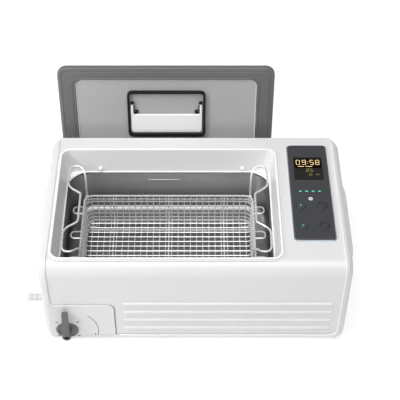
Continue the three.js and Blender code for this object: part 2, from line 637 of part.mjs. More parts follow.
// The bail is a broad finger plate on two short arms that turn on side pins.
const bailHalf = BAIL.width / 2;
const bailShape = new THREE.Shape();
bailShape.moveTo(-bailHalf + 5, BAIL.bottom);
bailShape.lineTo(bailHalf - 5, BAIL.bottom);
bailShape.quadraticCurveTo(bailHalf, BAIL.bottom, bailHalf, BAIL.bottom + 5);
bailShape.lineTo(bailHalf, BAIL.pivot + 2.2);
bailShape.lineTo(bailHalf - BAIL.arm, BAIL.pivot + 2.2);
bailShape.lineTo(bailHalf - BAIL.arm, BAIL.bottom + BAIL.paddle + 5);
bailShape.quadraticCurveTo(bailHalf - BAIL.arm, BAIL.bottom + BAIL.paddle, bailHalf - BAIL.arm - 5,
  BAIL.bottom + BAIL.paddle);
bailShape.lineTo(-bailHalf + BAIL.arm + 5, BAIL.bottom + BAIL.paddle);
bailShape.quadraticCurveTo(-bailHalf + BAIL.arm, BAIL.bottom + BAIL.paddle, -bailHalf + BAIL.arm,
  BAIL.bottom + BAIL.paddle + 5);
bailShape.lineTo(-bailHalf + BAIL.arm, BAIL.pivot + 2.2);
bailShape.lineTo(-bailHalf, BAIL.pivot + 2.2);
bailShape.lineTo(-bailHalf, BAIL.bottom + 5);
bailShape.quadraticCurveTo(-bailHalf, BAIL.bottom, -bailHalf + 5, BAIL.bottom);
const bail = cut(
  alongY(bailShape, BAIL.y - BAIL.thickness / 2, BAIL.y + BAIL.thickness / 2, 3),
  disc(1.2, -70, 70, 10, "x").translate(0, BAIL.y, BAIL.pivot),
);
add("lid_handle", bail, WHITE, lidGroup);
const pinEnd = BEZEL.width / 2 - BEZEL.ring - GAP;
for (const [name, side] of [["handle_pin_left", -1], ["handle_pin_right", 1]]) {
  const [a, b] = side < 0 ? [-pinEnd, -pinEnd + 7] : [pinEnd - 7, pinEnd];
  add(name, disc(0.85, a, b, 10, "x"), STEEL, lidGroup, [0, BAIL.y, BAIL.pivot]);
}

// ---- Basket -------------------------------------------------------------------------------
// A tray of perforated walls that drains freely, with feet, and end loops to hold it off the tank.
const basketRing = (offset, z, inward = 0) =>
  ring(0, 0, BASKET.length + 2 * offset, BASKET.width + 2 * offset, BASKET.radius + offset, z, 3 - inward);
const SHEET = 1.6;
let basket = solid(lofted([
  basketRing(0, BASKET.bottom),
  basketRing(0, BASKET.rim - 3),
  basketRing(1.2, BASKET.rim - 3),
  basketRing(1.2, BASKET.rim),
  basketRing(-SHEET, BASKET.rim),
  basketRing(-SHEET, BASKET.bottom + SHEET),
], true));
const spread = (count, pitch, i) => (i - (count - 1) / 2) * pitch;
for (let i = 0; i < 7; i += 1) {
  const x = spread(7, 35, i);
  for (let j = 0; j < 4; j += 1) {
    const y = spread(4, 30, j);
    basket = cut(basket, block(x - 14, y - 11.5, BASKET.bottom - 2, x + 14, y + 11.5, BASKET.bottom + 4));
  }
  if (Math.abs(x) < 110) basket = cut(basket, block(x - 14, -90, 66, x + 14, 90, 104));
}
for (const y of [-30, 0, 30]) {
  basket = cut(basket, block(-150, y - 11.5, 66, 150, y + 11.5, 91), block(-150, y - 11.5, 102, 150,
    y + 11.5, 109));
}
for (const x of [-1, 1]) {
  for (const y of [-52, 0, 52]) {
    const loop = [[x * 131, y - 9, 97], [x * 148, y - 8, 97], [x * 151, y, 97], [x * 148, y + 8, 97],
      [x * 131, y + 9, 97]];
    basket = join(basket, swept(loop, circleShape(1.2, 5), 8));
  }
  for (const y of [-1, 1]) {
    basket = join(basket, block(x * 122 - 3, y * 56 - 3, TANK.floor + GAP, x * 122 + 3, y * 56 + 3,
      BASKET.bottom + 0.6));
  }
}
add("basket", basket, STEEL, housing, [BASKET.x, BASKET.y, 0]);

// Each handle rises from two rim corners, spreads into two level lobes and jogs in between them.
function handlePoints(sign) {
  const half = [[128.8, 64.3, 115.3], [128.8, 66, 130], [129, 72, 148], [131, 80, 157], [138, 88, 160],
    [147, 88.5, 160], [152.5, 82, 160], [153.5, 62, 160], [153, 47, 160], [147, 40, 160], [136, 30, 160],
    [133, 26, 160], [133, 12, 160]];
  const rest = half.map(([x, y, z]) => [x, -y, z]).reverse();
  return [...half, ...rest].map(([x, y, z]) => [sign * x, y, z]);
}
for (const [name, sign] of [["basket_handle_left", -1], ["basket_handle_right", 1]]) {
  add(name, swept(handlePoints(sign), circleShape(HANDLE_WIRE, 6), 48), STEEL, housing, [BASKET.x,
    BASKET.y, 0]);
}

// The origin lies under the middle of the whole box, on the worktop.
const box = new THREE.Box3().setFromObject(assembly);
const middle = box.getCenter(new THREE.Vector3());
assembly.position.set(-middle.x, -middle.y, 0);
assembly.updateMatrixWorld(true);

export default assembly;
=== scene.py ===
"""Ultrasonic cleaner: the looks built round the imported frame.

Lengths in this script are millimetres measured from the middle of the housing's front face (X, Y)
and from the worktop (Z). at() turns such a place into the frame's metres.
"""

import math

import bmesh
import bpy
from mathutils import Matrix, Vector


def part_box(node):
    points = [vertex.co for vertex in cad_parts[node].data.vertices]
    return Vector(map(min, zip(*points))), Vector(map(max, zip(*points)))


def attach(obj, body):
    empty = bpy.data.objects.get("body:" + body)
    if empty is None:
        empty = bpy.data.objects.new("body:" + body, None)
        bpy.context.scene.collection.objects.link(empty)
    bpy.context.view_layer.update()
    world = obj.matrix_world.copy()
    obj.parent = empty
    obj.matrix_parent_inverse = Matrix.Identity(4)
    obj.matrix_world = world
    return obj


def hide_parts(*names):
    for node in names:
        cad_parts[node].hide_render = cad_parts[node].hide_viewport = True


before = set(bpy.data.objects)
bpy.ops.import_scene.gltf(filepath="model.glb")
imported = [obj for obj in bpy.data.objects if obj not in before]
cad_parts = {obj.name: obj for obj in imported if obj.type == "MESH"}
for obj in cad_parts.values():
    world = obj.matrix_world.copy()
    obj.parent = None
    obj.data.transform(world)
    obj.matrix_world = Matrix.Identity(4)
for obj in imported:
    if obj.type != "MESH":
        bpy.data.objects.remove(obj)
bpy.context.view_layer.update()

MM = 0.001

# ---- Places taken from the frame ---------------------------------------------------------------
cover_low, cover_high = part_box("top_cover")
sill_low, sill_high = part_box("base_pan")
end_low, end_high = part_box("left_end_frame")
HOME = Vector(((cover_low.x + cover_high.x) / 2, sill_low.y, 0))


def at(x, y, z):
    return HOME + Vector((x, y, z)) * MM


def span(node):
    """A node's corners in this script's millimetres."""
    low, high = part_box(node)
    return (low - HOME) / MM, (high - HOME) / MM


def middle(node):
    low, high = span(node)
    return (low + high) / 2


def quarter(divisions, first=0):
    """The angles of a quarter turn in equal steps, in radians."""
    return [math.pi / 2 * i / divisions for i in range(first, divisions + 1)]


# ---- Driving dimensions ------------------------------------------------------------------------
GAP = 0.3
WALL = 3.0
COVER_DROP = 1.6
TOP_Z = end_high.z / MM
BASE_Z = end_low.z / MM
DEPTH = (sill_high.y - HOME.y) / MM
HALF_WIDTH = 226.0
SEAM_X = (cover_high.x - HOME.x) / MM + GAP / 2
COVER_TOP = TOP_Z - COVER_DROP
SILL_Z = 18.0
REAR_SEAM_Y = 272.0
FRONT_TOP_RADIUS = 23.0
REAR_PLAN_RADIUS = 28.0
EDGE_RADIUS = 10.0
BASE_CORNER = 20.0
CORNER = 12.0

OPENING = {"x": -41.7, "y": 133.0, "width": 331.0, "depth": 220.0, "radius": 13.0}
TANK = {"width": 321.5, "depth": 211.0, "radius": 40.0, "rim": 127.0, "floor": 52.0, "fillet": 13.0}
TANK_DRAIN_X = -160.0
WELL_Z = 129.0

PANEL = {"x": 174.3, "y": 153.0, "width": 62.0, "depth": 198.0, "radius": 5.0}
FASCIA_Z = COVER_TOP + 2.2
DISPLAY = {"x": 174.0, "y": 198.5, "width": 44.0, "depth": 50.0}
LED_Y = 150.8
LED_X = (158.5, 168.2, 177.9, 187.6)

RIB_RADIUS = 3.0
RIB_HEIGHTS = (93.0, 74.0, 55.0, 36.0)
RIB_X = (-106.8, 203.4)
BEAD_RADIUS = 0.95

DRAIN_PANEL = {"right": -120.0, "top": 90.5}
VALVE = {"x": -192.6, "y": 62.0, "z": 32.0}
LEVER_LENGTH = 50.0

GRIP = {"front": 70.0, "rear": 180.0, "low": 92.0, "lip": 104.0, "high": 136.0, "top": 154.0, "depth": 11.5,
        "reach": 9.5}

LID = {"x": -45.0, "width": 337.0, "height": 220.0, "thickness": 8.0, "radius": 15.0, "side": 27.0,
       "edge": 22.0, "recess": 2.5}
LID_TILT = math.radians(8)
LID_FOOT = (277.5, 67.5)
BEZEL = {"width": 123.0, "height": 85.0, "ring": 3.5, "top": 178.0, "front": -3.5}
BAIL = {"width": 112.0, "paddle": 33.0, "bottom": 102.5, "arm": 8.0, "pivot": 154.0, "y": -1.0,
        "thickness": 4.0}

BASKET = {"x": -41.7, "y": 133.0, "length": 265.0, "width": 136.0, "rim": 115.0, "bottom": 57.0,
          "radius": 12.0}
MESH_PITCH = 9.6
WIRE = 0.75
RIM_WIRE = 1.6
HANDLE_WIRE = 1.6


def lid_at(x, back, up):
    """A place on the stored lid: across, back from its front face, and up from its lower edge."""
    y = LID_FOOT[0] + back * math.cos(LID_TILT) + up * math.sin(LID_TILT)
    z = LID_FOOT[1] - back * math.sin(LID_TILT) + up * math.cos(LID_TILT)
    return Vector((LID["x"] + x, y, z))


# ---- Materials ---------------------------------------------------------------------------------
def shader(name):
    material = bpy.data.materials.new(name)
    material.use_nodes = True
    nodes, links = material.node_tree.nodes, material.node_tree.links
    return material, nodes, links, nodes["Principled BSDF"]


def noise(nodes, links, scale, detail=3.0, stretch=None):
    """A noise texture in object space, drawn out along an axis where stretch is given."""
    place = nodes.new("ShaderNodeTexCoord")
    texture = nodes.new("ShaderNodeTexNoise")
    texture.inputs["Scale"].default_value = scale
    texture.inputs["Detail"].default_value = detail
    source = place.outputs["Object"]
    if stretch:
        mapping = nodes.new("ShaderNodeMapping")
        mapping.inputs["Scale"].default_value = stretch
        links.new(source, mapping.inputs["Vector"])
        source = mapping.outputs["Vector"]
    links.new(source, texture.inputs["Vector"])
    return texture


def ramp(nodes, links, source, low, high, start=0.3, end=0.7):
    node = nodes.new("ShaderNodeMapRange")
    node.inputs["From Min"].default_value = start
    node.inputs["From Max"].default_value = end
    node.inputs["To Min"].default_value = low
    node.inputs["To Max"].default_value = high
    links.new(source, node.inputs["Value"])
    return node.outputs["Result"]


def tint(nodes, links, source, dark, light):
    node = nodes.new("ShaderNodeMix")
    node.data_type = "RGBA"
    node.inputs["A"].default_value = (*dark, 1)
    node.inputs["B"].default_value = (*light, 1)
    links.new(source, node.inputs["Factor"])
    return node.outputs["Result"]


def bump(nodes, links, source, strength, distance, shader_node):
    node = nodes.new("ShaderNodeBump")
    node.inputs["Strength"].default_value = strength
    node.inputs["Distance"].default_value = distance
    links.new(source, node.inputs["Height"])
    links.new(node.outputs["Normal"], shader_node.inputs["Normal"])


def plastic(name, colour, roughness, grain=900.0, relief=0.12, depth=0.00003, spread=0.05, coat=0.0,
            fade=0.045):
    """Moulded plastic: a fine spark-eroded grain, faint tone variation and handling marks."""
    material, nodes, links, bsdf = shader(name)
    broad = noise(nodes, links, 14.0, 4.0)
    shade = ramp(nodes, links, broad.outputs["Fac"], 0.0, 1.0)
    dark = [c * (1 - fade) for c in colour]
    links.new(tint(nodes, links, shade, dark, colour), bsdf.inputs["Base Color"])
    smear = noise(nodes, links, 46.0, 5.0)
    rough = ramp(nodes, links, smear.outputs["Fac"], roughness - spread, roughness + spread)
    links.new(rough, bsdf.inputs["Roughness"])
    fine = noise(nodes, links, grain, 2.0)
    bump(nodes, links, fine.outputs["Fac"], relief, depth, bsdf)
    bsdf.inputs["Coat Weight"].default_value = coat
    bsdf.inputs["Coat Roughness"].default_value = 0.12
    return material


def metal(name, colour, roughness, stretch=(1, 1, 1), scale=300.0, relief=0.05, spread=0.05,
          depth=0.00002):
    """Worked metal: drawn or brushed lines along one axis, with uneven polish."""
    material, nodes, links, bsdf = shader(name)
    bsdf.inputs["Metallic"].default_value = 1.0
    broad = noise(nodes, links, 9.0, 4.0)
    shade = ramp(nodes, links, broad.outputs["Fac"], 0.0, 1.0)
    dark = [c * 0.9 for c in colour]
    links.new(tint(nodes, links, shade, dark, colour), bsdf.inputs["Base Color"])
    lines = noise(nodes, links, scale, 3.0, stretch)
    rough = ramp(nodes, links, lines.outputs["Fac"], roughness - spread, roughness + spread)
    links.new(rough, bsdf.inputs["Roughness"])
    bump(nodes, links, lines.outputs["Fac"], relief, depth, bsdf)
    return material


def painted_shade_below(material, low, high, factor):
    """Paints shade into a vessel's metal: darkens it smoothly from one height down to another, both in
    metres.
    """
    nodes, links = material.node_tree.nodes, material.node_tree.links
    colour = nodes["Principled BSDF"].inputs["Base Color"]
    source = colour.links[0].from_socket
    place = nodes.new("ShaderNodeTexCoord")
    split = nodes.new("ShaderNodeSeparateXYZ")
    links.new(place.outputs["Object"], split.inputs["Vector"])
    level = ramp(nodes, links, split.outputs["Z"], 0.0, 1.0, low, high)
    mix = nodes.new("ShaderNodeMix")
    mix.data_type = "RGBA"
    mix.inputs["A"].default_value = (factor, factor, factor, 1)
    links.new(level, mix.inputs["Factor"])
    links.new(source, mix.inputs["B"])
    links.new(mix.outputs["Result"], colour)


def glowing(name, colour, strength):
    """A lit segment: the glow falls off a little from place to place, as behind a diffuser."""
    material, nodes, links, bsdf = shader(name)
    cloud = noise(nodes, links, 240.0, 2.0)
    level = ramp(nodes, links, cloud.outputs["Fac"], 0.0, 1.0)
    dim = [c * 0.82 for c in colour]
    glow = tint(nodes, links, level, dim, colour)
    links.new(glow, bsdf.inputs["Emission Color"])
    links.new(glow, bsdf.inputs["Base Color"])
    bsdf.inputs["Emission Strength"].default_value = strength
    bsdf.inputs["Roughness"].default_value = 0.4
    return material


def smooth_white(name, level, roughness=0.34, grain=1100, fade=0.01, relief=0.02):
    """The light, nearly featureless plastic of the housing's parts."""
    return plastic(name, (level, level, level), roughness, grain=grain, relief=relief, spread=0.02, fade=fade)


WHITE = plastic("white_moulding", (0.73, 0.73, 0.732), 0.34, grain=1100, relief=0.02, spread=0.02, fade=0.01)
# Painted highlight: the ribs take a lighter white than the cover, for the light along their tops.
RIB_HIGHLIGHT_WHITE = smooth_white("rib_painted_highlight_white", 0.79)
# Painted light: a lighter copy of the housing white, which brightens the shaded well, its studs and the right
# frame's bead.
PAINTED_LIGHT_WHITE = smooth_white("well_painted_light_white", 0.96, 0.4)
SATIN_WHITE = smooth_white("handle_white", 0.95, 0.3, 1300)
OUTLET_WHITE = smooth_white("outlet_white", 0.68, 0.5, fade=0.045, relief=0.05)
# Painted highlight: a light white for the line of light caught on the lid panel's edge.
LID_HIGHLIGHT_WHITE = smooth_white("lid_panel_painted_highlight", 0.86, 0.35, fade=0.045)
CHARCOAL = plastic("charcoal_film", (0.05, 0.051, 0.056), 0.42, grain=1500, relief=0.05, spread=0.03)
LEVER_GREY = plastic("lever_grey", (0.115, 0.115, 0.12), 0.4, relief=0.2, depth=0.00005)
BLACK = plastic("black_moulding", (0.012, 0.012, 0.013), 0.32, grain=1000, relief=0.15)
BLACK.node_tree.nodes["Principled BSDF"].inputs["Specular IOR Level"].default_value = 0.2
LID_GREY = plastic("lid_frame_grey", (0.15, 0.15, 0.151), 0.42, grain=1000, relief=0.2, depth=0.00004)
PANEL_GREY = plastic("lid_panel_grey", (0.475, 0.475, 0.475), 0.36)
RUBBER = plastic("foot_rubber", (0.018, 0.018, 0.018), 0.75, grain=700, relief=0.4, depth=0.00006)
BOARD = plastic("circuit_board", (0.02, 0.11, 0.045), 0.4, grain=500, relief=0.3)
SILICONE = plastic("heater_silicone", (0.45, 0.11, 0.035), 0.65, grain=600, relief=0.3)
GLASS_BLACK = plastic("display_black", (0.009, 0.010, 0.008), 0.12, grain=300, relief=0.01, spread=0.03,
                      coat=0.6)
PRINT_GREY = plastic("print_grey", (0.03, 0.03, 0.033), 0.5)
PRINT_LIGHT = plastic("print_light", (0.88, 0.88, 0.88), 0.5)
MARK_DARK = plastic("mark_dark", (0.08, 0.08, 0.09), 0.5)

UPRIGHT_GRAIN = (0.03, 0.03, 1.0)
STEEL = metal("tank_steel", (0.64, 0.645, 0.65), 0.38, UPRIGHT_GRAIN, 900, 0.04)
TANK_STEEL = metal("tank_bowl_steel", (0.69, 0.695, 0.70), 0.36, UPRIGHT_GRAIN, 900, 0.04)
# Painted shade: the tank's steel darkens towards its floor, where little light reaches.
painted_shade_below(TANK_STEEL, 0.06, 0.095, 0.24)
WIRE_STEEL = metal("basket_wire", (0.88, 0.88, 0.885), 0.3, scale=400)
WIRE_STEEL.node_tree.nodes["Principled BSDF"].inputs["Metallic"].default_value = 0.55
ALUMINIUM = metal("satin_aluminium", (0.6, 0.66, 0.74), 0.34, (1.0, 0.03, 1.0), 900, 0.1)
CASTING = metal("machined_aluminium", (0.55, 0.56, 0.58), 0.42, (0.1, 0.1, 1.0), 700, 0.2)
BRASS = metal("machined_brass", (0.62, 0.44, 0.17), 0.3, (1.0, 0.05, 1.0), 700, 0.15)

LED_GREEN = glowing("led_green", (0.25, 0.75, 0.52), 0.6)
LED_HALO = glowing("led_halo", (0.0, 0.12, 0.075), 0.4)
DIGIT_ORANGE = glowing("digit_orange", (1.0, 0.74, 0.40), 0.85)
DIGIT_HALO = glowing("digit_halo", (0.07, 0.035, 0.006), 0.3)
DIGIT_DIM = glowing("digit_dim", (0.20, 0.19, 0.05), 0.5)
ICON_GREEN = glowing("icon_green", (0.12, 0.42, 0.33), 0.7)
ICON_RING = glowing("icon_ring_green", (0.025, 0.085, 0.07), 0.5)


# ---- Mesh tools --------------------------------------------------------------------------------
def rounded_ring(x0, y0, x1, y1, radii, steps=10):
    """A rounded rectangle's points in two dimensions, anticlockwise from the lower right corner.

    radii are for the lower right, upper right, upper left and lower left corners."""
    points = []
    corners = ((x1, y0, -1, 1, 270), (x1, y1, -1, -1, 0), (x0, y1, 1, -1, 90), (x0, y0, 1, 1, 180))
    for (cx, cy, sx, sy, start), radius in zip(corners, radii):
        radius = max(radius, 0.05)
        for i in range(steps + 1):
            angle = math.radians(start + 90 * i / steps)
            points.append((cx + radius * (sx + math.cos(angle)), cy + radius * (sy + math.sin(angle))))
    return points


def centred_ring(x, y, width, depth, radius, steps=10):
    return rounded_ring(x - width / 2, y - depth / 2, x + width / 2, y + depth / 2, [radius] * 4, steps)


def loft(bm, rings, cap_first=False, cap_last=False, closed=False):
    """Quads between rings of equal point count."""
    rows = [[bm.verts.new(p) for p in ring] for ring in rings]
    pairs = list(zip(rows, rows[1:]))
    if closed:
        pairs.append((rows[-1], rows[0]))
    for a, b in pairs:
        count = len(a)
        for i in range(count):
            j = (i + 1) % count
            bm.faces.new((a[i], a[j], b[j], b[i]))
    if cap_first:
        bm.faces.new(list(reversed(rows[0])))
    if cap_last:
        bm.faces.new(rows[-1])
    return rows


def prism(bm, outline, place, start, end, edge=0.0, edge_steps=3, both=False):
    """A flat shape drawn out along a direction, its end edge (or both) rounded by the edge radius.

    place(u, v, w) gives the 3-D point for a 2-D point (u, v) at depth w."""
    inward = inset_directions(outline)
    sign = 1 if end > start else -1

    def ring(inset, w):
        return [place(u + d[0] * inset, v + d[1] * inset, w) for (u, v), d in zip(outline, inward)]

    turn = quarter(edge_steps) if edge else []
    opening = [ring(edge * (1 - math.sin(a)), start + sign * edge * (1 - math.cos(a))) for a in turn if both]
    closing = [ring(edge * (1 - math.cos(a)), end - sign * edge * (1 - math.sin(a))) for a in turn]
    loft(bm, (opening or [ring(0, start)]) + (closing or [ring(0, end)]), cap_first=True, cap_last=True)


def inset_directions(outline):
    """For each point of an anticlockwise outline, the mitred inward direction."""
    found = []
    count = len(outline)
    for i in range(count):
        a, b, c = (Vector(outline[(i + k) % count]) for k in (-1, 0, 1))
        first, second = b - a, c - b
        if first.length < 1e-6:
            first = second
        if second.length < 1e-6:
            second = first
        n1 = Vector((-first.y, first.x)).normalized()
        n2 = Vector((-second.y, second.x)).normalized()
        mean = n1 + n2
        mean = mean.normalized() if mean.length > 1e-6 else n1
        found.append(mean / max(mean.dot(n1), 0.5))
    return found


def tube(bm, points, radius, sides=8, closed=False):
    """A round wire along a list of points, with even twist."""
    points = [Vector(p) for p in points]
    count = len(points)
    tangents = []
    for i, point in enumerate(points):
        before = points[i - 1] if (i or closed) else point
        after = points[(i + 1) % count] if (i < count - 1 or closed) else point
        tangents.append((after - before).normalized())
    side = tangents[0].orthogonal().normalized()
    rows = []
    for point, tangent in zip(points, tangents):
        side = (side - tangent * side.dot(tangent)).normalized()
        other = tangent.cross(side)
        ring = []
        for k in range(sides):
            angle = 2 * math.pi * k / sides
            ring.append(bm.verts.new(point + (side * math.cos(angle) + other * math.sin(angle)) * radius))
        rows.append(ring)
    for a, b in zip(rows, rows[1:]):
        for k in range(sides):
            j = (k + 1) % sides
            bm.faces.new((a[k], a[j], b[j], b[k]))
    if closed:
        a, b = rows[-1], rows[0]

        def mismatch(turn):
            return sum((a[k].co - b[(k + turn) % sides].co).length for k in range(sides))

        shift = min(range(sides), key=mismatch)
        for k in range(sides):
            j = (k + 1) % sides
            bm.faces.new((a[k], a[j], b[(j + shift) % sides], b[(k + shift) % sides]))
    else:
        bm.faces.new(list(reversed(rows[0])))
        bm.faces.new(rows[-1])


def smooth_path(points, steps=6):
    """A Catmull-Rom curve through the points."""
    points = [Vector(p) for p in points]
    ends = [points[0] * 2 - points[1], *points, points[-1] * 2 - points[-2]]
    found = []
    for i in range(1, len(ends) - 2):
        a, b, c, d = ends[i - 1:i + 3]
        for k in range(steps):
            t = k / steps
            found.append(0.5 * ((2 * b) + (c - a) * t + (2 * a - 5 * b + 4 * c - d) * t * t
                                + (3 * b - 3 * c + d - a) * t ** 3))
    found.append(points[-1])
    return found


def filleted(points, radius, steps=5):
    """An open polyline with each corner rounded."""
    points = [Vector(p) for p in points]
    found = [points[0]]
    for before, corner, after in zip(points, points[1:], points[2:]):
        into, out = before - corner, after - corner
        reach = min(radius, into.length * 0.49, out.length * 0.49)
        start, end = corner + into.normalized() * reach, corner + out.normalized() * reach
        for k in range(steps + 1):
            t = k / steps
            found.append(start * (1 - t) ** 2 + corner * 2 * t * (1 - t) + end * t * t)
    return [*found, points[-1]]


def turned(bm, profile, place, segments=32):
    """A turned piece: profile is [(radius, along)], place(u, v, along) the 3-D point."""
    rows = []
    for radius, along in profile:
        if radius < 1e-4:
            rows.append([bm.verts.new(place(0, 0, along))])
            continue
        rows.append([
            bm.verts.new(place(radius * math.cos(2 * math.pi * k / segments),
                               radius * math.sin(2 * math.pi * k / segments), along))
            for k in range(segments)
        ])
    for a, b in zip(rows, rows[1:]):
        for k in range(segments):
            j = (k + 1) % segments
            corners = [a[k % len(a)], a[j % len(a)], b[j % len(b)], b[k % len(b)]]
            unique = list(dict.fromkeys(corners))
            if len(unique) > 2:
                bm.faces.new(unique)


def softened(profile, radius=0.5, steps=3):
    """Rounds the corners of a turning profile."""
    flat = [Vector((r, h, 0)) for r, h in profile]
    return [(p.x, p.y) for p in filleted(flat, radius, steps)]


def along_x(x, y, z):
    return lambda u, v, w: Vector((x + w, y + u, z + v))


def along_y(x, y, z):
    return lambda u, v, w: Vector((x + u, y + w, z + v))


def along_z(x, y, z):
    return lambda u, v, w: Vector((x + u, y + v, z + w))


def lid_place(u, v, w):
    return lid_at(u, w, v)


UP = along_z(0, 0, 0)
BACKWARD = along_y(0, 0, 0)


def made(tool, *shape, **options):
    """A new mesh that holds one tool's work."""
    bm = bmesh.new()
    tool(bm, *shape, **options)
    return bm


def mesh_object(name, bm):
    """Turns a mesh in millimetres into an object in the frame's metres."""
    bmesh.ops.recalc_face_normals(bm, faces=bm.faces)
    for vertex in bm.verts:
        vertex.co = HOME + vertex.co * MM
    mesh = bpy.data.meshes.new(name)
    bm.to_mesh(mesh)
    bm.free()
    obj = bpy.data.objects.new(name, mesh)
    bpy.context.scene.collection.objects.link(obj)
    return obj


def piece(name, bm, material, body="housing", replaces=(), angle=40, weighted=True):
    """Turns a mesh in millimetres into a finished piece that rides on a body."""
    obj = mesh_object(name, bm)
    obj.data.materials.append(material)
    smooth_above(obj, angle)
    if weighted:
        keep_flats(obj)
    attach(obj, body)
    if replaces:
        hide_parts(*replaces)
    return obj


def smooth_above(obj, angle=40):
    """Smooth faces, with crisp edges where they meet at more than the angle."""
    obj.data.polygons.foreach_set("use_smooth", [True] * len(obj.data.polygons))
    obj.data.set_sharp_from_angle(angle=math.radians(angle))


def keep_flats(obj, keep_sharp=True):
    """Weighted normals, so that flat faces stay flat beside rounded edges."""
    modifier = obj.modifiers.new("flat_faces", "WEIGHTED_NORMAL")
    modifier.keep_sharp = keep_sharp
    modifier.weight = 80


def carved(obj, cutters, angle):
    """Cuts away meshes given in millimetres, and sets the shading of what is left."""
    material = obj.data.materials[0]
    waiting = [(m, m.show_viewport) for m in obj.modifiers]
    for modifier, _ in waiting:
        modifier.show_viewport = False
    for bm in cutters:
        cutter = mesh_object("cutter", bm)
        cut = obj.modifiers.new("cut", "BOOLEAN")
        cut.operation = "DIFFERENCE"
        cut.solver = "EXACT"
        cut.object = cutter
        graph = bpy.context.evaluated_depsgraph_get()
        graph.update()
        mesh = bpy.data.meshes.new_from_object(obj.evaluated_get(graph))
        obj.modifiers.remove(cut)
        obj.data = mesh
        mesh.materials.clear()
        mesh.materials.append(material)
        bpy.data.objects.remove(cutter)
    for modifier, shown in waiting:
        modifier.show_viewport = shown
    smooth_above(obj, angle)


def finish_edges(obj, width):
    """Swaps a cut piece's finish for a small moulded radius on every sharp edge."""
    obj.modifiers.clear()
    smooth_above(obj, 180)
    edge = obj.modifiers.new("edge_radius", "BEVEL")
    edge.width = width * MM
    edge.segments = 2
    edge.limit_method = "ANGLE"
    edge.angle_limit = math.radians(50)
    edge.miter_outer = "MITER_ARC"
    keep_flats(obj)


def block(x0, y0, z0, x1, y1, z1):
    """A square-edged block between two corners."""
    return made(prism, [(x0, y0), (x1, y0), (x1, y1), (x0, y1)], UP, z0, z1)


# ---- Camera, floor and light -------------------------------------------------------------------
def make_camera():
    """A long lens above the front edge, looking down at the opening."""
    camera = bpy.data.objects.new("camera", bpy.data.cameras.new("camera"))
    bpy.context.scene.collection.objects.link(camera)
    camera.data.lens = 94.9
    camera.data.sensor_width = 36.0
    camera.data.shift_x = 0.0175
    camera.location = at(-3.2, -950, TOP_Z + 1150)
    pitch_down = math.radians(46.67)
    camera.rotation_euler = (math.pi / 2 - pitch_down, 0, 0)
    camera.data.clip_start = 0.05
    camera.data.clip_end = 60
    bpy.context.scene.camera = camera


def make_stage():
    """A wide white floor, lit from below as a light table is."""
    mesh = bpy.data.meshes.new("floor")
    size = 30
    corners = [(-size, -size, 0), (size, -size, 0), (size, size, 0), (-size, size, 0)]
    mesh.from_pydata(corners, [], [(0, 1, 2, 3)])
    floor = bpy.data.objects.new("floor", mesh)
    bpy.context.scene.collection.objects.link(floor)
    material, nodes, links, bsdf = shader("floor_white")
    cloud = noise(nodes, links, 3.0, 3.0)
    level = ramp(nodes, links, cloud.outputs["Fac"], 0.0, 1.0)
    paper = tint(nodes, links, level, (0.60, 0.60, 0.60), (0.62, 0.62, 0.62))
    links.new(paper, bsdf.inputs["Base Color"])
    links.new(paper, bsdf.inputs["Emission Color"])
    bsdf.inputs["Emission Strength"].default_value = 0.95
    bsdf.inputs["Roughness"].default_value = 0.85
    mesh.materials.append(material)


def area_light(name, location, size, power):
    """A softbox at a place in metres, aimed at the middle of the housing."""
    data = bpy.data.lights.new(name, "AREA")
    data.shape = "RECTANGLE"
    data.size, data.size_y = size
    data.energy = power
    lamp = bpy.data.objects.new(name, data)
    bpy.context.scene.collection.objects.link(lamp)
    lamp.location = location
    aim = Vector((0, 0, 0.1)) - Vector(location)
    lamp.rotation_mode = "QUATERNION"
    lamp.rotation_quaternion = aim.to_track_quat("-Z", "Y")


def make_light():
    """A soft key at the left, a wide softbox overhead, and a surround that darkens to the right."""
    world = bpy.data.worlds.new("studio")
    world.use_nodes = True
    background = world.node_tree.nodes["Background"]
    background.inputs["Color"].default_value = (1, 1, 1, 1)
    nodes, links = world.node_tree.nodes, world.node_tree.links
    place = nodes.new("ShaderNodeTexCoord")
    split = nodes.new("ShaderNodeSeparateXYZ")
    links.new(place.outputs["Generated"], split.inputs["Vector"])
    level = ramp(nodes, links, split.outputs["X"], 0.42, 0.06, -0.7, 0.7)
    links.new(level, background.inputs["Strength"])
    bpy.context.scene.world = world
    area_light("key", (-1.1, -0.6, 1.1), (0.35, 0.35), 8)
    area_light("top", (-0.1, -0.5, 2.4), (2.2, 1.6), 48)
    scene = bpy.context.scene
    scene.view_settings.view_transform = "Standard"
    scene.view_settings.look = "None"
    scene.view_settings.exposure = 0.0


# ---- Housing -----------------------------------------------------------------------------------
def end_frame(name, sign):
    """The moulded end: a band round the middle cover that rolls over into a flat side wall."""
    def arc_dive(x, radius):
        reach = max(0.0, x - (HALF_WIDTH - radius)) / radius
        return radius * (1 - math.sqrt(max(0.0, 1 - reach * reach)))

    rings = []
    for angle in quarter(16):
        x = HALF_WIDTH - EDGE_RADIUS * (1 - math.sin(angle)) if angle else SEAM_X + 0.05
        inset = EDGE_RADIUS * (1 - math.cos(angle))
        rear = min(arc_dive(x, REAR_PLAN_RADIUS), REAR_PLAN_RADIUS * 0.62)
        low = BASE_Z + min(arc_dive(x, BASE_CORNER), BASE_CORNER * 0.8)
        radii = [max(8 - inset * 0.4, 3), max(EDGE_RADIUS - inset * 0.3, 4),
                 max(FRONT_TOP_RADIUS - inset * 0.75, 8), 3]
        outline = rounded_ring(inset, low, DEPTH - rear, TOP_Z - inset, radii, 12)
        rings.append([Vector((sign * x, u, v)) for u, v in outline])
    shell = made(loft, rings, cap_last=True)
    obj = piece(f"{name}_shell", shell, WHITE, replaces=(name,), angle=60)
    thickness = obj.modifiers.new("wall", "SOLIDIFY")
    thickness.thickness = WALL * MM
    thickness.offset = -1
    obj.modifiers.move(len(obj.modifiers) - 1, 0)


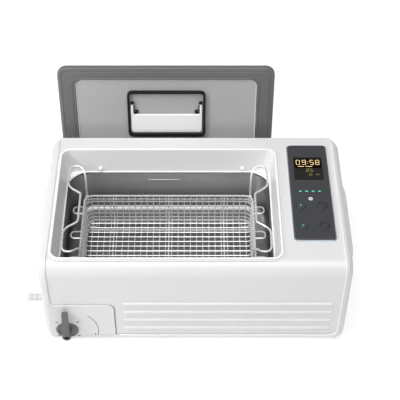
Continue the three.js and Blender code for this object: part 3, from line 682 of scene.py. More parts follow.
def spanning_sheet(name, outer, inner, node):
    """A bent sheet that reaches from one end frame to the other, from its outer and inner lines."""
    half = SEAM_X - 0.05
    outline = outer + list(reversed(inner))
    rings = [[Vector((x, u, v)) for u, v in outline] for x in (-half, half)]
    sheet = made(loft, rings, cap_first=True, cap_last=True)
    return piece(name, sheet, WHITE, replaces=(node,), angle=30)


def middle_cover():
    """The cover that wraps over the top and down the front between the end frames."""
    radius = FRONT_TOP_RADIUS - COVER_DROP
    y, z = COVER_DROP + radius, COVER_TOP - radius
    outer, inner = ([
        (COVER_DROP + depth, SILL_Z + GAP),
        *((y - (radius - depth) * math.cos(a), z + (radius - depth) * math.sin(a)) for a in quarter(16)),
        (REAR_SEAM_Y, COVER_TOP - depth),
    ] for depth in (0, WALL))
    obj = spanning_sheet("top_cover_shell", outer, inner, "top_cover")
    mouth = centred_ring(OPENING["x"], OPENING["y"], OPENING["width"] + 5.2, OPENING["depth"] + 5.2, 15.6)
    window = centred_ring(PANEL["x"], PANEL["y"], 52, 186, 3)
    notch = rounded_ring(-HALF_WIDTH, 0, DRAIN_PANEL["right"] + 0.9, DRAIN_PANEL["top"] + 0.9, [1, 11, 1, 1])
    cutters = [made(prism, outline, UP, COVER_TOP - 20, COVER_TOP + 20) for outline in (mouth, window)]
    carved(obj, [*cutters, made(prism, notch, BACKWARD, -5, 14)], 180)
    finish_edges(obj, 0.5)


def front_ribs():
    """Four half-round ribs with rounded ends across the front."""
    bm = bmesh.new()
    x0, x1 = RIB_X
    end = [(RIB_RADIUS * math.sin(a), x0 + RIB_RADIUS * (1 - math.cos(a))) for a in quarter(6)]
    profile = end + [(r, x0 + x1 - along) for r, along in reversed(end)]
    for z in RIB_HEIGHTS:
        turned(bm, profile, along_x(0, COVER_DROP + 0.4, z), 24)
    # The lighter rib white paints the highlight along each rib.
    piece("front_ribs", bm, RIB_HIGHLIGHT_WHITE)


def drain_plate():
    """The raised plate round the drain lever, flush with the end frame."""
    left, right = -SEAM_X - 4.95, DRAIN_PANEL["right"]
    outline = rounded_ring(left, BASE_Z + 8, right, DRAIN_PANEL["top"], [1, 10, 1, 1])
    plate = made(prism, outline, BACKWARD, WALL, 0.0, edge=1.3, edge_steps=4)
    obj = piece("drain_plate", plate, WHITE, replaces=("drain_panel",), angle=60)
    bore = [(0, -5), (6, -5), (6, 8), (0, 8)]
    carved(obj, [made(turned, bore, along_y(VALVE["x"], 0, VALVE["z"]))], 50)


def bottom_pan():
    """The pan: a front sill and a rear lip with a rounded turn into the flat bottom."""
    outer, inner = [(0, SILL_Z)], [(WALL, SILL_Z)]
    for start, y, radius in ((math.pi, 3.0, 3.0), (1.5 * math.pi, DEPTH - 8.0, 8.0)):
        inner_radius = max(radius - WALL, 0.4)
        inner_z = BASE_Z + max(radius, WALL + 0.4)
        for turn in quarter(8):
            c, s = math.cos(start + turn), math.sin(start + turn)
            outer.append((y + radius * c, BASE_Z + radius + radius * s))
            inner.append((y + inner_radius * c, inner_z + inner_radius * s))
    outer.append((DEPTH, SILL_Z))
    inner.append((DEPTH - WALL, SILL_Z))
    obj = spanning_sheet("bottom_pan", outer, inner, "base_pan")
    centres = (22.5, 36.5, 50.5, 64.5, 78.5, 92.5)
    vents = [rounded_ring(x - 2.5, 210, x + 2.5, 255, [2.4] * 4, 6) for x in centres]
    carved(obj, [made(prism, outline, UP, 0, 30) for outline in vents], 180)
    finish_edges(obj, 0.4)


middle_cover()
front_ribs()
drain_plate()
bottom_pan()


def right_frame_bead():
    """A fine raised bead down the right end frame's inner edge, which turns into the sill."""
    x, y, r = SEAM_X + 1.3, 0.45, FRONT_TOP_RADIUS
    path = [(x, REAR_SEAM_Y - 14, TOP_Z - y)]
    path += [(x, r - (r - y) * math.sin(a), TOP_Z - r + (r - y) * math.cos(a)) for a in quarter(12)]
    path.append((x, y, SILL_Z + CORNER))
    path += [(x - CORNER * (1 - math.cos(a)), y, SILL_Z + CORNER * (1 - math.sin(a))) for a in quarter(8, 1)]
    path.append((DRAIN_PANEL["right"] + 6, y, SILL_Z))
    # The bead is real, but its lighter white paints the highlight that the light from the left puts on this
    # edge.
    piece("right_frame_bead", made(tube, path, BEAD_RADIUS), PAINTED_LIGHT_WHITE)


def corner_filler(name, x, z, radius, sign):
    """A small web that gives the cover's lower corner a rounded inside edge."""
    bend = [(1 - math.cos(a), 1 - math.sin(a)) for a in quarter(8)]
    outline = [(x, z)] + [(x - sign * radius * u, z + radius * v) for u, v in bend]
    piece(name, made(prism, outline, BACKWARD, WALL, 0.05), WHITE, weighted=False)


right_frame_bead()
corner_filler("right_corner_web", SEAM_X, SILL_Z, CORNER, 1)
corner_filler("left_corner_web", -SEAM_X, DRAIN_PANEL["top"], CORNER * 0.5, -1)
end_frame("left_end_frame", -1)
end_frame("right_end_frame", 1)


def hood_rings(sign, inset):
    """Rings of the grip hood, from the wall outward; the lower edge is a flat lip."""
    rings = []
    reach = GRIP["reach"] - inset
    for angle in quarter(10):
        x = HALF_WIDTH - 1.2 + (reach + 1.2) * math.sin(angle)
        shrink = 1 - math.cos(angle)
        front = GRIP["front"] - 12 + inset + 14 * shrink
        rear = GRIP["rear"] + 12 - inset - 14 * shrink
        top = GRIP["top"] - 1.4 * inset - 30 * shrink
        low = GRIP["lip"] if not inset else GRIP["low"] - 6
        corner = 12 - 5 * shrink
        outline = rounded_ring(front, low, rear, top, [3, corner, corner, 3], 8)
        rings.append([Vector((sign * x, u, v)) for u, v in outline])
    return rings


def grip(name, frame_name, sign):
    """A hand grip: a finger pocket in the side wall with a moulded hood over it."""
    shell = bpy.data.objects[f"{frame_name}_shell"]
    shell.modifiers.remove(shell.modifiers["flat_faces"])
    walled = bpy.data.meshes.new_from_object(shell.evaluated_get(bpy.context.evaluated_depsgraph_get()))
    shell.modifiers.clear()
    shell.data = walled
    low_x, high_x = sorted((sign * (HALF_WIDTH - 6), sign * (HALF_WIDTH + 6)))
    carved(shell, [block(low_x, GRIP["front"], GRIP["low"], high_x, GRIP["rear"], GRIP["high"])], 50)

    def pocket_ring(depth, grow, radius):
        y, z = (GRIP["front"] + GRIP["rear"]) / 2, (GRIP["low"] + GRIP["high"]) / 2
        width, height = GRIP["rear"] - GRIP["front"] + grow, GRIP["high"] - GRIP["low"] + grow
        outline = centred_ring(y, z, width, height, radius, 6)
        return [Vector((sign * (HALF_WIDTH - depth), u, v)) for u, v in outline]

    stations = ((GRIP["depth"], -0.5, 3), (0.2, -0.5, 3), (WALL + 0.1, 3.5, 4), (GRIP["depth"] + 2, 3.5, 4))
    liner = made(loft, [pocket_ring(*station) for station in stations], cap_first=True, cap_last=True)
    piece(f"{name}_pocket", liner, WHITE)

    cover = made(loft, hood_rings(sign, 0.0), cap_first=True, cap_last=True)
    hood = piece(f"{name}_hood", cover, WHITE, angle=50)
    rings = hood_rings(sign, 3.0)
    start = [Vector((p.x - sign * 3, p.y, p.z)) for p in rings[0]]
    carved(hood, [made(loft, [start, *rings], cap_first=True, cap_last=True)], 50)


grip("left_grip", "left_end_frame", -1)
grip("right_grip", "right_end_frame", 1)


# ---- Well and tank -----------------------------------------------------------------------------
def opening_ring(offset, z):
    outline = centred_ring(OPENING["x"], OPENING["y"], OPENING["width"] + 2 * offset,
                           OPENING["depth"] + 2 * offset, OPENING["radius"] + offset, 12)
    return [Vector((x, y, z)) for x, y in outline]


def tank_ring(offset, z, radius=TANK["radius"]):
    outline = centred_ring(OPENING["x"], OPENING["y"], TANK["width"] + 2 * offset, TANK["depth"] + 2 * offset,
                           radius + offset, 12)
    return [Vector((x, y, z)) for x, y in outline]


def well():
    """The moulded surround: a raised lip, a drafted wall with a soft foot, and a ledge over the tank."""
    foot = ((0.4, 0, 40), (0.4, 1.2, 40), (0.9, 1.8, 40), (-2.4, 2.0, 18), (-0.8, 2.6, 16), (0.0, 4.4, 15))
    lip = ((0.0, -2.0), (0.2, -0.7), (0.7, 0.1), (1.3, 0.4), (2.3, 0.4), (3.1, 0.1), (3.6, -0.6))
    skirt = ((3.6, COVER_TOP + GAP), (2.2, COVER_TOP + GAP), (2.2, COVER_TOP - 5))
    rings = [tank_ring(offset, WELL_Z + rise, radius) for offset, rise, radius in foot]
    rings += [opening_ring(offset, TOP_Z + rise) for offset, rise in lip]
    rings += [opening_ring(offset, z) for offset, z in skirt]
    rings.append(tank_ring(3.0, WELL_Z, 15))
    surround = made(loft, rings, closed=True)
    # The surround's lighter white paints light into the shaded well.
    piece("well_surround", surround, PAINTED_LIGHT_WHITE, replaces=("tank_surround",), angle=35)
    bead = made(tube, opening_ring(6.4, COVER_TOP + 0.15), 0.5, 6, closed=True)
    piece("well_bead", bead, WHITE)
    studs = bmesh.new()
    wall_y = OPENING["y"] + TANK["depth"] / 2 + 0.9
    profile = softened([(0, 0), (2.6, 0), (2.6, -4.4), (1.6, -5.4), (0, -5.4)])
    for x in (-150.0, 75.0):
        turned(studs, profile, along_y(x, wall_y, WELL_Z + 9), 20)
    piece("lid_rest_studs", studs, PAINTED_LIGHT_WHITE)


def tank_seal():
    """The rubber seal between the moulded ledge and the tank's rim."""
    low, high = TANK["rim"] + GAP, WELL_Z - GAP
    profile = ((3.6, low), (0.2, low), (-0.7, low + 0.4), (-0.7, high - 0.3), (0.2, high), (3.6, high))
    seal = made(loft, [tank_ring(offset, z) for offset, z in profile], closed=True)
    piece("tank_rim_seal", seal, RUBBER, replaces=("tank_gasket",))


def tank():
    """The drawn steel tank with a rolled rim, a wide floor radius and a drain."""
    floor, fillet, rim = TANK["floor"], TANK["fillet"], TANK["rim"]

    def bend(r, angles):
        return [tank_ring(r * math.sin(a) - fillet, floor + fillet - r * math.cos(a)) for a in angles]

    rolled_rim = ((0, 80), (0, rim - 1.6), (0.4, rim - 0.4), (1.2, rim), (5, rim), (5, rim - 1),
                  (1, rim - 1.4), (1, floor + fillet))
    rings = [tank_ring(-fillet - 3, floor), *bend(fillet, quarter(8))]
    rings += [tank_ring(offset, z) for offset, z in rolled_rim]
    rings += bend(fillet + 1, reversed(quarter(8)[:-1]))
    bowl = made(loft, rings, cap_first=True, cap_last=True)
    obj = piece("steel_tank", bowl, TANK_STEEL, replaces=("tank",), angle=50)
    bore = [(0, 40), (5, 40), (5, 60), (0, 60)]
    carved(obj, [made(turned, bore, along_z(TANK_DRAIN_X, VALVE["y"], 0))], 50)
    profile = [(5.4, -6), (5.4, 0.4), (11, 0.4), (11, 1.4), (9.5, 2.2), (5.0, 1.6), (4.4, -6), (5.4, -6)]
    strainer = made(turned, softened(profile, 0.4), along_z(TANK_DRAIN_X, VALVE["y"], floor))
    piece("drain_strainer_ring", strainer, STEEL)
    back = OPENING["y"] + TANK["depth"] / 2 - 0.35
    level = made(tube, [(-75, back, 112), (-25, back, 112)], 0.6)
    piece("fill_line", level, STEEL)


def basket():
    """A wire basket: fine woven mesh on heavier rim and corner wires, with bumper loops and feet."""
    bx, by = BASKET["x"], BASKET["y"]
    half_x, half_y = BASKET["length"] / 2, BASKET["width"] / 2
    low, high = BASKET["bottom"] + 1.0, BASKET["rim"]

    def hoop(bm, inset, z, radius, sides=8, corner=BASKET["radius"], steps=6):
        outline = centred_ring(bx, by, 2 * (half_x - inset), 2 * (half_y - inset), corner, steps)
        tube(bm, [(x, y, z) for x, y in outline], radius, sides, closed=True)

    def across_x(y):
        return half_x, lambda u, z: (bx + u, y, z)

    def across_y(x):
        return half_y, lambda u, z: (x, by + u, z)

    def cradle(bm, across, top, bottom, ends=(0, 0), wire=(7, 4, 1.1, 8)):
        """A wire down one side, under the floor and up the other; ends draw its corners inward."""
        reach, place = across
        bend, steps, radius, sides = wire
        half = [(reach - ends[0], top), (reach - ends[1], bottom)]
        path = [place(-u, z) for u, z in half] + [place(u, z) for u, z in reversed(half)]
        tube(bm, filleted(path, bend, steps), radius, sides)

    frame_bm = bmesh.new()
    hoop(frame_bm, 0, high - RIM_WIRE, RIM_WIRE)
    hoop(frame_bm, 0.4, high - 14, 1.3)
    hoop(frame_bm, 2, low + 1, 1.2)
    for y in (-45, 0, 45):
        cradle(frame_bm, across_x(by + y), high - 2, low)
    for x in (-88, 0, 88):
        cradle(frame_bm, across_y(bx + x), high - 2, low - 0.6)
    for side in (-1, 1):
        near, far = bx + side * (half_x - 1.5), bx + side * (half_x + 18.3)
        for y in (by - 52, by, by + 52):
            loop = [(near, y - 7, 97), (far, y - 7, 97), (far, y + 7, 97), (near, y + 7, 97)]
            tube(frame_bm, filleted(loop, 6.5), 1.2)
        for y in (by - half_y + 12, by + half_y - 12):
            x = bx + side * (half_x - 10)
            foot = [(x - 6, y, low), (x - 6, y, 53.6), (x + 6, y, 53.6), (x + 6, y, low)]
            tube(frame_bm, filleted(foot, 3.5, 4), 1.15)
    piece("basket_frame_wires", frame_bm, WIRE_STEEL, "basket", ("basket",), weighted=False)

    mesh_bm = bmesh.new()
    fine = (6, 3, WIRE, 6)
    columns, rows = int(half_x * 2 / MESH_PITCH), int(half_y * 2 / MESH_PITCH)
    for i in range(1, columns):
        x = bx - half_x + i * (2 * half_x / columns)
        cradle(mesh_bm, across_y(x), high - 3, low, (0.4, 2), fine)
    for i in range(1, rows):
        y = by - half_y + i * (2 * half_y / rows)
        cradle(mesh_bm, across_x(y), high - 3, low + 1.3, (0.4, 2), fine)
    for z in (66, 75, 84, 92.5, 107.5):
        hoop(mesh_bm, 1.4, z, WIRE, 6, BASKET["radius"] - 1, 4)
    piece("basket_mesh_wires", mesh_bm, WIRE_STEEL, "basket", weighted=False)


def basket_handles():
    """Bent-wire handles that rise from the rim, arch outward and jog in at the finger bend."""
    half = [(128.8, 64.3, 108), (128.8, 64.6, 120), (128.8, 67, 134), (129, 72, 148), (131.5, 80, 156.5),
            (138.5, 87, 160), (147, 87, 160), (152.4, 81, 160), (153.4, 62, 160), (152.8, 48, 160),
            (147, 39.5, 160), (136.5, 31.5, 160), (133.2, 27, 160), (133, 12, 160)]
    route = half + [(x, -y, z) for x, y, z in reversed(half)]
    sleeve = softened([(1.7, 106), (2.7, 106), (2.7, 118), (1.7, 118), (1.7, 106)])
    for name, sign in (("basket_handle_left", -1), ("basket_handle_right", 1)):
        path = smooth_path([(BASKET["x"] + sign * x, BASKET["y"] + y, z) for x, y, z in route], 5)
        wire = made(tube, path, HANDLE_WIRE, 12)
        piece(f"{name}_wire", wire, WIRE_STEEL, "basket", (name,), weighted=False)
        collars = bmesh.new()
        for y in (-64.4, 64.4):
            turned(collars, sleeve, along_z(BASKET["x"] + sign * 128.8, BASKET["y"] + y, 0), 20)
        piece(f"{name}_collars", collars, WIRE_STEEL, "basket")


well()
tank_seal()
tank()
basket()
basket_handles()


# ---- Control panel -----------------------------------------------------------------------------
def panel():
    """The film-faced control panel on its metal rim, with the display window let in."""
    x, y, width, depth, radius = (PANEL[key] for key in ("x", "y", "width", "depth", "radius"))
    rim = made(prism, centred_ring(x, y, width, depth, radius), UP, COVER_TOP + GAP, FASCIA_Z - 0.1, edge=0.5)
    obj = piece("panel_rim", rim, ALUMINIUM, replaces=("panel_bezel",), angle=60)
    carved(obj, [made(prism, centred_ring(x, y, 50, 184, 2), UP, COVER_TOP - 5, FASCIA_Z + 5)], 50)

    holes = [centred_ring(DISPLAY["x"], DISPLAY["y"], DISPLAY["width"], DISPLAY["depth"], 1.5, 6)]
    holes += [centred_ring(lamp, LED_Y, 6.6, 3.6, 0.4, 3) for lamp in LED_X]
    holes += [centred_ring(*middle(node).xy, 15.0, 15.0, 7.5, 10) for node in BUTTONS]
    outline = centred_ring(x, y, width - 3, depth - 3, radius)
    plate = made(prism, outline, UP, FASCIA_Z, FASCIA_Z + 2.2, edge=0.9)
    obj = piece("panel_fascia", plate, CHARCOAL, replaces=("control_panel",))
    carved(obj, [made(prism, hole, UP, FASCIA_Z - 5, FASCIA_Z + 7.2) for hole in holes], 40)

    outline = centred_ring(DISPLAY["x"], DISPLAY["y"], DISPLAY["width"] - 0.5, DISPLAY["depth"] - 0.5, 1.2, 6)
    window = made(prism, outline, UP, FASCIA_Z, FASCIA_Z + 1.9, edge=0.3)
    piece("display_glass", window, GLASS_BLACK, replaces=("display_window",))


SEGMENTS_ON = {"0": "abcdef", "2": "abged", "5": "afgcd", "8": "abcdefg", "9": "abcdfg"}


def bar(bm, x0, y0, x1, y1, thickness, z, lift=0.12):
    """A lit bar with pointed ends between two places on the display."""
    start, end = Vector((x0, y0)), Vector((x1, y1))
    along = (end - start).normalized()
    side = Vector((-along.y, along.x)) * thickness / 2
    nib = along * thickness / 2
    outline = [start, start + nib - side, end - nib - side, end, end - nib + side, start + nib + side]
    prism(bm, [(p.x, p.y) for p in outline], UP, z, z + lift)


def digit(bm, figure, x, y, width, height, thickness, z):
    """A seven-segment figure whose lower left corner is (x, y)."""
    mid = height / 2
    slots = {"a": (0, height, width, height), "b": (width, mid, width, height), "c": (width, 0, width, mid),
             "d": (0, 0, width, 0), "e": (0, 0, 0, mid), "f": (0, mid, 0, height), "g": (0, mid, width, mid)}
    for key in SEGMENTS_ON[figure]:
        x0, y0, x1, y1 = slots[key]
        bar(bm, x + x0, y + y0, x + x1, y + y1, thickness, z)


def display():
    """Lit figures on the display: a time in large figures, a small reading and two marks."""
    top = FASCIA_Z + 1.92
    bm = bmesh.new()
    left, base = DISPLAY["x"] - 17.6, DISPLAY["y"] + 6.7
    for figure, x in zip("0958", (0.0, 9.4, 21.4, 30.2)):
        digit(bm, figure, left + x, base + 2.4, 5.2, 9.6, 0.66, top)
    for y in (5.4, 9.0):
        prism(bm, centred_ring(left + 18.0, base + y, 0.8, 0.8, 0.3, 3), UP, top, top + 0.12)
    for x0, x1 in ((2.0, 11.5), (14.0, 24.5)):
        bar(bm, left + x0, base - 1.6, left + x1, base - 1.6, 0.8, top)
    piece("display_figures", bm, DIGIT_ORANGE, weighted=False)
    outline = centred_ring(DISPLAY["x"], base + 5.2, DISPLAY["width"] - 3, 21, 2.5, 5)
    halo = made(prism, outline, UP, top - 0.1, top - 0.02)
    piece("display_glow", halo, DIGIT_HALO, weighted=False)
    dim = bmesh.new()
    for figure, x in zip("25", (14.5, 20.5)):
        digit(dim, figure, left + x, base - 13.2, 3.6, 6.4, 0.9, top)
    for i in range(12):
        ray = Vector((math.cos(math.tau * i / 12), math.sin(math.tau * i / 12)))
        centre = Vector((left + 20.5, base - 19.5))
        bar(dim, *(centre + 1.4 * ray), *(centre + 2.8 * ray), 0.8, top)
    for x0, x1 in ((29.0, 31.5), (31.5, 34.0)):
        bar(dim, left + x0, base - 20.5, left + (x0 + x1) / 2, base - 17.8, 0.7, top)
        bar(dim, left + (x0 + x1) / 2, base - 17.8, left + x1, base - 20.5, 0.7, top)
    piece("display_small_figures", dim, DIGIT_DIM, weighted=False)


def indicator_bars():
    """Four lit light-pipe ends in the fascia, each in a dim green surround."""
    bm, halo = bmesh.new(), bmesh.new()
    for x in LED_X:
        lamp = centred_ring(x, LED_Y, 3.6, 1.3, 0.4, 4)
        prism(bm, lamp, UP, FASCIA_Z - 1, FASCIA_Z + 2.1, edge=0.2)
        prism(halo, centred_ring(x, LED_Y, 6.5, 3.5, 0.4, 4), UP, FASCIA_Z - 1.2, FASCIA_Z + 1.9)
    piece("indicator_lamps", bm, LED_GREEN, "housing", ("indicator_light_pipe",), weighted=False)
    piece("indicator_surrounds", halo, LED_HALO, weighted=False)


def arc_strip(bm, x, y, z, radius, start, end, width, lift=0.1, steps=24):
    """A thin printed arc on a level face, its angles in degrees from +X."""
    turns = [math.radians(start + (end - start) * i / steps) for i in range(steps + 1)]
    outer, inner = ([(x + r * math.cos(a), y + r * math.sin(a)) for a in turns]
                    for r in (radius + width / 2, radius - width / 2))
    for i in range(steps):
        prism(bm, [outer[i], outer[i + 1], inner[i + 1], inner[i]], UP, z, z + lift)


BUTTONS = {"button_minus": "minus_button", "button_timer": "timer_button", "button_heat": "heat_button",
           "button_start": "start_button"}


def buttons():
    """Domed caps in the fascia, with a printed ring and a plain mark on each."""
    for node, body in BUTTONS.items():
        x, y = middle(node).xy
        top = span(node)[1].z
        ring_tone, mark_tone = (ICON_RING, ICON_GREEN) if x < PANEL["x"] else (PRINT_GREY, PRINT_GREY)
        profile = [(0, 163), (2, 163), (2, 171.2), (7.9, 171.2), (7.9, 172.8), (6.9, 172.8), (6.9, top - 0.9)]
        profile += [(6.0 + 0.9 * math.cos(a), top - 0.9 + 0.7 * math.sin(a)) for a in quarter(4, 1)]
        profile += [(4.0, top - 0.12), (2.0, top - 0.03), (0, top)]
        cap = made(turned, profile, along_z(x, y, 0), 36)
        piece(f"{node}_cap", cap, CHARCOAL, body, (node,), angle=45, weighted=False)
        ring = made(arc_strip, x, y, top - 0.12, 6.0, 0, 360, 0.7, lift=0.12, steps=40)
        piece(f"{node}_ring", ring, ring_tone, body, weighted=False)
        mark = bmesh.new()
        if node == "button_timer":
            arc_strip(mark, x, y, top, 0.8, 0, 360, 0.8, steps=20)
            bar(mark, x - 0.6, y + 0.4, x - 1.9, y + 2.2, 0.6, top, 0.1)
        elif node == "button_minus":
            for start in (x - 1.0, x + 0.6):
                bar(mark, start, y - 1.6, start + 1.0, y, 0.7, top, 0.1)
                bar(mark, start + 1.0, y, start, y + 1.6, 0.7, top, 0.1)
        elif node == "button_start":
            arc_strip(mark, x, y, top, 2.6, 120, 420, 0.7, steps=18)
            bar(mark, x, y + 0.4, x, y + 3.4, 0.7, top, 0.1)
        else:
            for row in (y - 1.2, y + 1.2):
                bar(mark, x - 2.6, row, x + 2.6, row, 0.7, top, 0.1)
        piece(f"{node}_mark", mark, mark_tone, body, weighted=False)
    spot = made(arc_strip, PANEL["x"] - 1.3, 134.8, FASCIA_Z + 2.2, 2.3, 0, 360, 1.8, lift=0.12, steps=28)
    piece("panel_round_mark", spot, PRINT_LIGHT, weighted=False)
    underlines = bmesh.new()
    for node in BUTTONS:
        x, y = middle(node).x, span(node)[0].y - 3.5
        bar(underlines, x - 5, y, x + 5, y, 0.9, FASCIA_Z + 2.2, 0.08)
    piece("panel_underlines", underlines, PRINT_GREY, weighted=False)


panel()
display()
indicator_bars()
buttons()


# ---- Lid ---------------------------------------------------------------------------------------
def lid():
    """A skirted lid: a dark frame with edge beads round a lighter, let-in panel."""
    width, height = LID["width"], LID["height"]
    inner_width, inner_height = width - 2 * LID["side"], height - 2 * LID["edge"]
    mid = height / 2
    recess, back = LID["recess"], LID["thickness"]

    def outer_ring(grow, depth):
        outline = centred_ring(0, mid, width + 2 * grow, height + 2 * grow, LID["radius"] + grow, 12)
        return [lid_at(u, depth, v) for u, v in outline]

    def inner_ring(grow, depth):
        outline = centred_ring(0, mid, inner_width + 2 * grow, inner_height + 2 * grow, 12 + grow, 12)
        return [lid_at(u, depth, v) for u, v in outline]

    border = ((0, back), (0, 3.2), (-0.3, 1.9), (-1.1, 0.8), (-2.6, 0.2), (-4.2, 0.0), (-5.6, 0.0),
              (-6.2, 0.7), (-7.0, 0.7), (-7.6, 0.0))
    sill = ((5.2, 0.0), (4.6, 0.7), (3.8, 0.7), (3.2, 0.0), (1.2, 0.0), (0.5, 0.2), (0.1, 0.8),
            (0, 1.6), (0, recess + 3))
    rings = [outer_ring(*station) for station in border] + [inner_ring(*station) for station in sill]
    rings += [outer_ring(-3, recess + 3), outer_ring(-3, back)]
    moulding = made(loft, rings, closed=True)
    piece("lid_frame_moulding", moulding, LID_GREY, "lid", replaces=("lid_frame",), angle=32)

    # Painted highlight: a light bead round the panel stands for the light caught on the panel's edge.
    outline = centred_ring(0, mid, inner_width - 2, inner_height - 2, 11, 8)
    bead = made(tube, [lid_at(u, recess - 0.4, v) for u, v in outline], 0.75, closed=True)
    piece("lid_panel_highlight_bead", bead, LID_HIGHLIGHT_WHITE, "lid", weighted=False)

    outline = centred_ring(0, mid, inner_width - 0.4, inner_height - 0.4, 11.8, 12)
    plate = made(prism, outline, lid_place, recess + 3, recess, edge=0.5)
    piece("lid_inset_panel", plate, PANEL_GREY, "lid", replaces=("lid_panel",), angle=50)


def lid_handle():
    """A black bezel ring holding a white finger bail that turns on two side pins."""
    width, height = BEZEL["width"], BEZEL["height"]
    mid = BEZEL["top"] - height / 2

    def ring(grow, back):
        outline = centred_ring(0, mid, width + 2 * grow, height + 2 * grow, max(8 + grow, 3))
        return [lid_at(u, back, v) for u, v in outline]

    front, seat, w = BEZEL["front"], LID["recess"] - 0.2, BEZEL["ring"]
    profile = ((0, seat), (0, front + 1.2), (-0.35, front + 0.35), (-1.2, front), (-w + 1.2, front),
               (-w + 0.35, front + 0.35), (-w, front + 1.2), (-w, seat))
    bezel = made(loft, [ring(grow, back) for grow, back in profile], closed=True)
    piece("handle_bezel_ring", bezel, BLACK, "lid", replaces=("handle_bezel",), angle=45)

    half, bottom, arm = BAIL["width"] / 2, BAIL["bottom"], BAIL["arm"] * 0.45
    shoulder = bottom + BAIL["paddle"]
    top = BAIL["pivot"] + 2.2
    inner = half - arm
    right = [(half - 5 + 5 * math.sin(a), bottom + 5 - 5 * math.cos(a)) for a in quarter(6, 1)]
    right += [(half, top - 0.9), (half - 0.9, top), (inner + 0.9, top), (inner, top - 0.9)]
    right += [(inner - 3 + 3 * math.cos(a), shoulder + 3 - 3 * math.sin(a)) for a in quarter(6)]
    outline = [(-half + 5, bottom), (half - 5, bottom), *right, *((-u, v) for u, v in reversed(right))]
    back, front = BAIL["y"] + BAIL["thickness"] / 2, BAIL["y"] - BAIL["thickness"] / 2
    bail = made(prism, outline, lid_place, back, front, edge=0.7, both=True)
    piece("bail_plate", bail, SATIN_WHITE, "bail", replaces=("lid_handle",), angle=50)
    outline = rounded_ring(-half + 6, bottom + 5, half - 6, bottom + 6.6, [0.7] * 4, 4)
    lip = made(prism, outline, lid_place, front + 0.6, front - 0.3, edge=0.3)
    piece("bail_finger_bead", lip, SATIN_WHITE, "bail")

    hooks, caps, pins = bmesh.new(), bmesh.new(), bmesh.new()
    hook = ((0, top - 1), (0, shoulder + 2.6), (1.2, shoulder + 1.6), (4.8, shoulder + 1.6),
            (6.4, shoulder + 4.0), (4.8, shoulder + 6.6), (2.6, shoulder + 6.0))
    for side in (-1, 1):
        path = [lid_at(side * (inner - 0.5 - u), LID["recess"] - 1.8, v) for u, v in hook]
        tube(hooks, filleted(path, 1.5, 4), 1.5)
        x, z = side * (half - 1.8), BAIL["pivot"] + 1.5
        cap = rounded_ring(x - 2.6, z - 0.8, x + 2.6, z + 2.4, [1.0] * 4, 4)
        prism(caps, cap, lid_place, LID["recess"] - 0.6, front - 0.3, edge=0.6)
        origin = lid_at(side * (half - 5), BAIL["y"], BAIL["pivot"])
        turned(pins, [(0, 0), (0.85, 0), (0.85, 6.6), (0, 6.6)],
               lambda u, v, w, o=origin, s=side: o + Vector((s * w, u, v)), 16)
    piece("bail_pivot_caps", caps, BLACK, "lid")
    piece("bail_guides", hooks, BLACK, "lid")
    piece("bail_pins", pins, STEEL, "lid", ("handle_pin_left", "handle_pin_right"))


lid()
lid_handle()


# ---- Drain control -----------------------------------------------------------------------------
def drain_control():
    """The quarter-turn lever on its round escutcheon, with printed marks on the plate."""
    x, z = VALVE["x"], VALVE["z"]
    profile = [(5.6, 0), (5.6, -2.2), (8.6, -2.2), (9.4, -1.5), (12.2, -1.5), (13.0, -2.6), (14.6, -2.6),
               (16.2, -2.1), (17, -1.1), (17, 0), (5.6, 0)]
    disc = made(turned, softened(profile, 0.35), along_y(x, -GAP, z), 48)
    piece("drain_escutcheon_disc", disc, LEVER_GREY, "housing", ("drain_escutcheon",))

    lever = bmesh.new()
    hub = [(0, -3.2), (6.6, -3.2), (7, -4.0), (7, -14.9), (6.2, -16.1), (4.4, -16.3), (4.1, -16.0),
           (4.1, -13.9), (0, -13.9)]
    turned(lever, softened(hub, 0.4), along_y(x, 0, z), 40)
    outline = rounded_ring(-5.2, 2, 5.2, LEVER_LENGTH, [1, 2.4, 2.4, 1], 6)
    tapered = [(u * (1.0 - 0.12 * (v / LEVER_LENGTH)), v) for u, v in outline]

    def cranked(u, v, w):
        return Vector((x + u, w - 5.5 * max(0.0, 1 - v / 30.0), z + v))

    prism(lever, tapered, cranked, -4.2, -10.4, edge=1.0, both=True)
    piece("drain_lever_moulding", lever, LEVER_GREY, "drain_control", ("drain_lever",))
    profile = softened([(0, -14.0), (3.1, -14.0), (3.1, -15.2), (2.2, -16.0), (0, -16.0)], 0.4)
    screw = made(turned, profile, along_y(x, 0, z), 24)
    obj = piece("lever_screw_head", screw, BLACK, "drain_control", ("lever_screw",))
    carved(obj, [block(x - u, -18, z - v, x + u, -15.1, z + v) for u, v in ((0.45, 2.1), (2.1, 0.45))], 40)

    marks = bmesh.new()

    def on_plate(u, v, w):
        return Vector((x + u, -w, z + v))

    for u, v in ((16.6, 18.6), (-14.8, 18.6), (-13.6, -15.2), (16.6, -15.2)):
        prism(marks, centred_ring(u, v, 4.6, 1.9, 0.9, 4), on_plate, 0.02, 0.14)
    radius, steps = 47.0, 26
    turns = [math.radians(46 - 63 * i / steps) for i in range(steps + 1)]
    inner, outer = ([(r * math.cos(a), r * math.sin(a)) for a in turns]
                    for r in (radius - 0.45, radius + 0.45))
    for i in range(steps):
        prism(marks, [inner[i], inner[i + 1], outer[i + 1], outer[i]], on_plate, 0.02, 0.12)
    prism(marks, [(41.0, -14.2), (42.2, -14.2), (42.2, -8.6), (41.0, -8.6)], on_plate, 0.02, 0.12)
    piece("drain_plate_marks", marks, MARK_DARK, weighted=False)


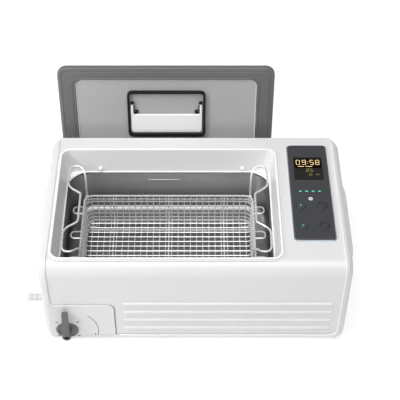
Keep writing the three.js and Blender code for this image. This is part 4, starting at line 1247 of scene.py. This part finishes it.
def hose_outlet():
    """The ribbed outlet, a turned fitting with three barbs and a through bore."""
    start = VALVE["x"] - 15 - GAP
    profile = [(3, start), (5.6, start), (5.6, start - 24)]
    for root in (27, 35, 43):
        profile += [(5.1, start - root), (6.4, start - root - 2.2)]
    profile += [(4.8, start - 51), (3, start - 51), (3, start)]
    barb = made(turned, softened(profile, 0.35), along_x(0, VALVE["y"], VALVE["z"]), 36)
    piece("hose_barb", barb, OUTLET_WHITE, replaces=("outlet_barb",))
    wall = -HALF_WIDTH - 0.05
    profile = [(6.2, wall), (11, wall), (11, wall - 1.2), (10, wall - 2.0), (6.2, wall - 2.0), (6.2, wall)]
    collar = made(turned, softened(profile, 0.4), along_x(0, VALVE["y"], VALVE["z"]), 40)
    piece("hose_barb_collar", collar, WHITE)


drain_control()
hose_outlet()


# ---- Feet, rear fittings and what is inside ----------------------------------------------------
def feet():
    """Rubber feet, each with a rounded sole round a shallow hollow."""
    for node in ("foot_front_left", "foot_front_right", "foot_rear_left", "foot_rear_right"):
        x, y = middle(node).xy
        top = span(node)[1].z
        profile = [(0, 1.2), (4, 1.2), (4.6, 0.0), (11.2, 0.0), (13, 2.0), (13, top), (0, top)]
        pad = made(turned, softened(profile, 0.6), along_z(x, y, 0), 36)
        piece(f"{node}_pad", pad, RUBBER, replaces=(node,))


def fuse_holder():
    """The fuse cap on the rear panel, slotted for a coin."""
    x, _, z = middle("fuse_cap")
    face = DEPTH - COVER_DROP
    profile = [(0, face - 20), (5, face - 20), (5, face + 0.3), (7.5, face + 0.3), (7.5, face + 4),
               (6.4, face + 6.8), (0, face + 6.8)]
    cap = made(turned, softened(profile, 0.6), along_y(x, 0, z))
    obj = piece("fuse_holder", cap, BLACK, replaces=("fuse_cap",))
    carved(obj, [block(x - 5, face + 5.6, z - 0.7, x + 5, face + 9, z + 0.7)], 40)


CARRIED = (
    (WHITE, ("rear_panel", "lid_bracket_left", "lid_bracket_right")),
    (BLACK, ("power_inlet", "power_switch_housing", "power_rocker", "fan_frame", "capacitor",
             "display_module")),
    (LEVER_GREY, ("fan_rotor",)),
    (CASTING, ("transducer_1", "transducer_2", "transducer_3", "heat_sink")),
    (SILICONE, ("heater_pad_front", "heater_pad_rear")),
    (BRASS, ("temperature_sensor", "drain_elbow", "valve_body", "valve_ball_and_stem", "transformer")),
    (BOARD, ("generator_board", "control_board")),
)


def carried_nodes():
    """CAD nodes whose shape is right: a better finish, welded points and small edge radii."""
    for node, material in ((node, material) for material, nodes in CARRIED for node in nodes):
        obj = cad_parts[node]
        obj.data.materials.clear()
        obj.data.materials.append(material)
        if "custom_normal" in obj.data.attributes:
            obj.data.attributes.remove(obj.data.attributes["custom_normal"])
        weld = obj.modifiers.new("weld", "WELD")
        weld.merge_threshold = 0.00002
        bevel = obj.modifiers.new("edge_radius", "BEVEL")
        bevel.width = 0.35 * MM
        bevel.segments = 2
        bevel.limit_method = "ANGLE"
        bevel.angle_limit = math.radians(50)
        obj.data.polygons.foreach_set("use_smooth", [True] * len(obj.data.polygons))
        keep_flats(obj, keep_sharp=False)


feet()
fuse_holder()
carried_nodes()

make_camera()
make_stage()
make_light()
